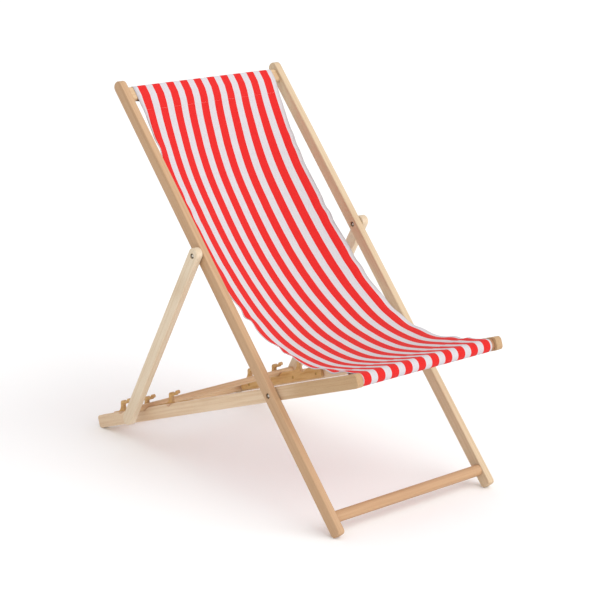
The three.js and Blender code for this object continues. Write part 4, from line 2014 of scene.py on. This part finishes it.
    def surface(self, x: float, row: int) -> Vector:
        """Finds a point of the cloth's middle.

        Args:
            x: place across the flat cloth.
            row: number of the path's point.

        Returns:
            The point, in metres.
        """
        before = self.path[max(row - 1, 0)]
        after = self.path[min(row + 1, len(self.path) - 1)]
        length = math.dist(before, after) or 1.0
        normal = ((before[1] - after[1]) / length, (after[0] - before[0]) / length)
        v, over = self.twin(self.runs[row])
        lift = over * (self.raised(x, v) - self.sunk(x, v))
        y, z = self.path[row]
        drift = self.drift_top
        drift += (self.drift_front - self.drift_top) * self.runs[row] / self.runs[-1]
        return Vector((self.spread(x, v) + drift, y - normal[0] * lift,
                       z - normal[1] * lift)) * MM

    def build(self, canvas: bpy.types.Material, thread: bpy.types.Material) -> None:
        """Builds the cloth and its stitches, and hides the plain sling.

        Args:
            canvas: the cloth's material.
            thread: the stitches' material.
        """
        cloth, stitches = self.cloth(canvas), self.stitches(thread)
        for piece in (cloth, stitches):
            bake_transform(piece)
        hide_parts("sling")
        length = runs_along([self.surface(0.0, row) for row in range(len(self.path))])[-1]
        log.info("sling: %.0f x %.0f mm flat, %d faces", self.sheet_width, length / MM,
                 len(cloth.data.polygons))

    def cloth(self, canvas: bpy.types.Material) -> bpy.types.Object:
        """Builds the cloth, with its flat coordinates in metres.

        Args:
            canvas: its material.

        Returns:
            The cloth.
        """
        columns = round(self.width / self.grid)
        across = [self.width * (i / columns - 0.5) for i in range(columns + 1)]
        mesh = bmesh.new()
        layer = mesh.loops.layers.uv.new("cloth")
        grid = [[mesh.verts.new(self.surface(x, row)) for x in across]
                for row in range(len(self.path))]
        for row in range(len(self.path) - 1):
            for i in range(columns):
                corners = ((row, i), (row, i + 1), (row + 1, i + 1), (row + 1, i))
                face = mesh.faces.new([grid[r][c] for r, c in corners])
                face.smooth = True
                for loop, (r, c) in zip(face.loops, corners):
                    loop[layer].uv = (across[c] * MM, self.runs[r] * MM)
        cloth = new_object("sling_cloth", mesh)
        thicken = cloth.modifiers.new("thickness", "SOLIDIFY")
        thicken.thickness = self.thick * MM
        thicken.offset = 0.0
        settle(cloth)
        cloth.data.materials.append(canvas)
        return cloth

    def stitches(self, thread: bpy.types.Material) -> bpy.types.Object:
        """Builds the rows of stitches that hold both hems.

        Args:
            thread: their material.

        Returns:
            The stitches, in one piece.
        """
        mesh = bmesh.new()
        count = int(self.width / self.stitch_pitch) - 1
        across = Vector((1, 0, 0))
        for v in (self.open_from + self.top_seam, self.open_to - self.front_seam):
            row = min(range(len(self.runs)), key=lambda k: abs(self.runs[k] - v))
            for i in range(count):
                x = (i - (count - 1) / 2) * self.stitch_pitch
                middle = self.surface(x, row)
                ahead = (self.surface(x, row + 1) - middle).normalized()
                Stitch(middle, across, ahead, across.cross(ahead), self.hem_gap).add_to(mesh)
        stitches = new_object("sling_stitches", mesh)
        shade(stitches, 60.0)
        stitches.data.materials.append(thread)
        return stitches


@dataclass(frozen=True)
class Stitch:
    """One stitch, a small pillow of thread on each face of the cloth.

    Attributes:
        middle: the cloth's middle at the stitch, in metres.
        across: direction of the thread.
        ahead: direction along the cloth.
        out: direction off the cloth's upper face.
        hem_gap: between the middles of the cloth and of the hem behind it.
        length: length of the stitch.
        width: width of the thread.
        rise: height of the pillow.
        lift_upper: how far off the cloth's middle the pillow on the upper face lies.
        lift_lower: how far off it, or off the hem's, the pillow on the lower face lies.
        rings: shape of the pillow, as shares of half its length and of its width.
    """

    middle: Vector
    across: Vector
    ahead: Vector
    out: Vector
    hem_gap: float
    length: float = 2.2
    width: float = 0.3
    rise: float = 0.28
    lift_upper: float = 0.3
    lift_lower: float = 0.5
    rings: tuple[Point2, ...] = ((-1.0, 0.35), (-0.6, 1.0), (0.6, 1.0), (1.0, 0.35))

    def add_to(self, mesh: bmesh.types.BMesh) -> None:
        """Adds the stitch to a mesh.

        Args:
            mesh: the mesh of all the stitches.
        """
        hem = self.hem_gap if self.out.z > 0 else 0.0
        self.pillow(mesh, self.lift_upper, 1)
        self.pillow(mesh, -(self.lift_lower + hem), -1)

    def pillow(self, mesh: bmesh.types.BMesh, lift: float, face: int) -> None:
        """Adds one pillow.

        Args:
            mesh: the mesh of all the stitches.
            lift: how far off the cloth's middle it lies.
            face: 1 on the upper face and -1 on the lower one.
        """
        rings = []
        for along, share in self.rings:
            base = (self.middle + self.across * (along * self.length / 2 * MM)
                    + self.out * (lift * MM))
            side = self.ahead * (share * self.width / 2 * MM)
            rise = self.out * (face * share * self.rise * MM)
            rings.append([mesh.verts.new(p)
                          for p in (base - side, base + rise, base + side, base - rise)])
        for low, high in zip(rings, rings[1:]):
            for k in range(4):
                m = (k + 1) % 4
                mesh.faces.new((low[k], low[m], high[m], high[k]))
        mesh.faces.new(rings[0])
        mesh.faces.new(reversed(rings[-1]))


# ---- studio -------------------------------------------------------------------------------------


@dataclass(frozen=True)
class Studio:
    """A pale floor, a white surround, one broad soft light and the camera.

    Attributes:
        pivot: (y, z) of the fold pivot, which the camera is placed from.
        azimuth: the camera's turn about the upright, in degrees.
        elevation: its height angle, in degrees.
        roll: its slight roll, in degrees.
        place: its place from the pivot, in metres.
        lens: its focal length.
        sensor: width of its sensor.
        far: how far it sees, in metres.
        surround: strength of the even light from all round.
        sun: strength of the broad light.
        sun_spread: how broad it is, in degrees.
        sun_from: direction that it comes from.
        floor_size: width of the floor, in metres.
        floor_drop: how far the floor lies below the chair's feet.
    """

    pivot: Point2
    azimuth: float = -43.27
    elevation: float = 16.53
    roll: float = 2.14
    place: tuple[float, float, float] = (-3.2911, -3.3122, 1.5696)
    lens: float = 121.2
    sensor: float = 36.0
    far: float = 200.0
    surround: float = 0.89
    sun: float = 1.67
    sun_spread: float = 70.0
    sun_from: tuple[float, float, float] = (0.3, -0.85, 0.62)
    floor_size: float = 60.0
    floor_drop: float = 0.5

    def build(self) -> None:
        """Builds the whole studio."""
        self.lay_floor()
        self.light_surround()
        self.hang_light()
        self.set_camera()
        bpy.context.scene.view_settings.view_transform = "Standard"
        log.info("studio: floor, surround, broad light and camera")

    def lay_floor(self) -> None:
        """Lays the floor."""
        mesh = bmesh.new()
        bmesh.ops.create_grid(mesh, x_segments=8, y_segments=8, size=self.floor_size / 2)
        floor = new_object("studio_floor", mesh)
        floor.location.z = -self.floor_drop * MM
        floor.data.materials.append(PaleFloor().build())

    def light_surround(self) -> None:
        """Lights the scene evenly from all round."""
        world = bpy.data.worlds.new("studio_surround")
        world.use_nodes = True
        background = world.node_tree.nodes["Background"]
        background.inputs["Color"].default_value = linear("ffffff")
        background.inputs["Strength"].default_value = self.surround
        bpy.context.scene.world = world

    def hang_light(self) -> None:
        """Hangs the broad soft light, far off, so that it falls evenly on the whole floor."""
        data = bpy.data.lights.new("key_light", "SUN")
        data.energy = self.sun
        data.angle = math.radians(self.sun_spread)
        lamp = bpy.data.objects.new("key_light", data)
        lamp.rotation_euler = (-Vector(self.sun_from)).to_track_quat("-Z", "Y").to_euler()
        bpy.context.scene.collection.objects.link(lamp)

    def set_camera(self) -> None:
        """Sets the camera up, level but for its slight roll."""
        a, e, r = (math.radians(v) for v in (self.azimuth, self.elevation, self.roll))
        back = Vector((math.sin(a) * math.cos(e), -math.cos(a) * math.cos(e), math.sin(e)))
        level = Vector((math.cos(a), math.sin(a), 0))
        right = math.cos(r) * level + math.sin(r) * back.cross(level)
        up = back.cross(right)
        data = bpy.data.cameras.new("camera")
        data.lens = self.lens
        data.sensor_width = self.sensor
        data.clip_end = self.far
        camera = bpy.data.objects.new("camera", data)
        stand = Vector((0, *self.pivot)) * MM + Vector(self.place)
        camera.matrix_world = (Matrix.Translation(stand)
                               @ Matrix((right, up, back)).transposed().to_4x4())
        bpy.context.scene.collection.objects.link(camera)
        bpy.context.scene.camera = camera


def main() -> None:
    """Loads the frame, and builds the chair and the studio."""
    logging.basicConfig(level=logging.INFO, format="%(name)s: %(message)s")
    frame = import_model()
    back, seat, prop, rack = BackFrame(), SeatFrame(), PropFrame(), Rack()
    layout = Layout.read(frame["joints"], back, seat, rack)
    # The bolts' and sleeves' heads get a ring of painted shade beyond 3.9 mm.
    steel = PlatedSteel("zinc_plated_steel", "e4dfd6", "a49d92", rim_from=3.9).build()
    plain = PlatedSteel("zinc_plated_washer", "cfcac0", "8f8a80").build()
    brass = PlatedSteel("yellow_zinc_screw", "c9a765", "8c6a38", 0.5).build()
    back.build(layout.back)
    seat.build(layout.seat, rack)
    prop.build(layout.prop, layout.span)
    for side in Side:
        rack.build(layout.seat, side, brass)
        Pivot("fold_pivot", side, layout.back, 0.0, back.outer, seat.inner).build(steel, plain)
        Pivot("prop_pivot", side, layout.back, back.prop_at, prop.outer,
              back.inner).build(steel, plain)
    Sling(layout, back, seat).build(StripedCanvas().build(), Thread().build())
    Studio(layout.back.pivot).build()
    bpy.context.view_layer.update()


if __name__ == "__main__":
    main()
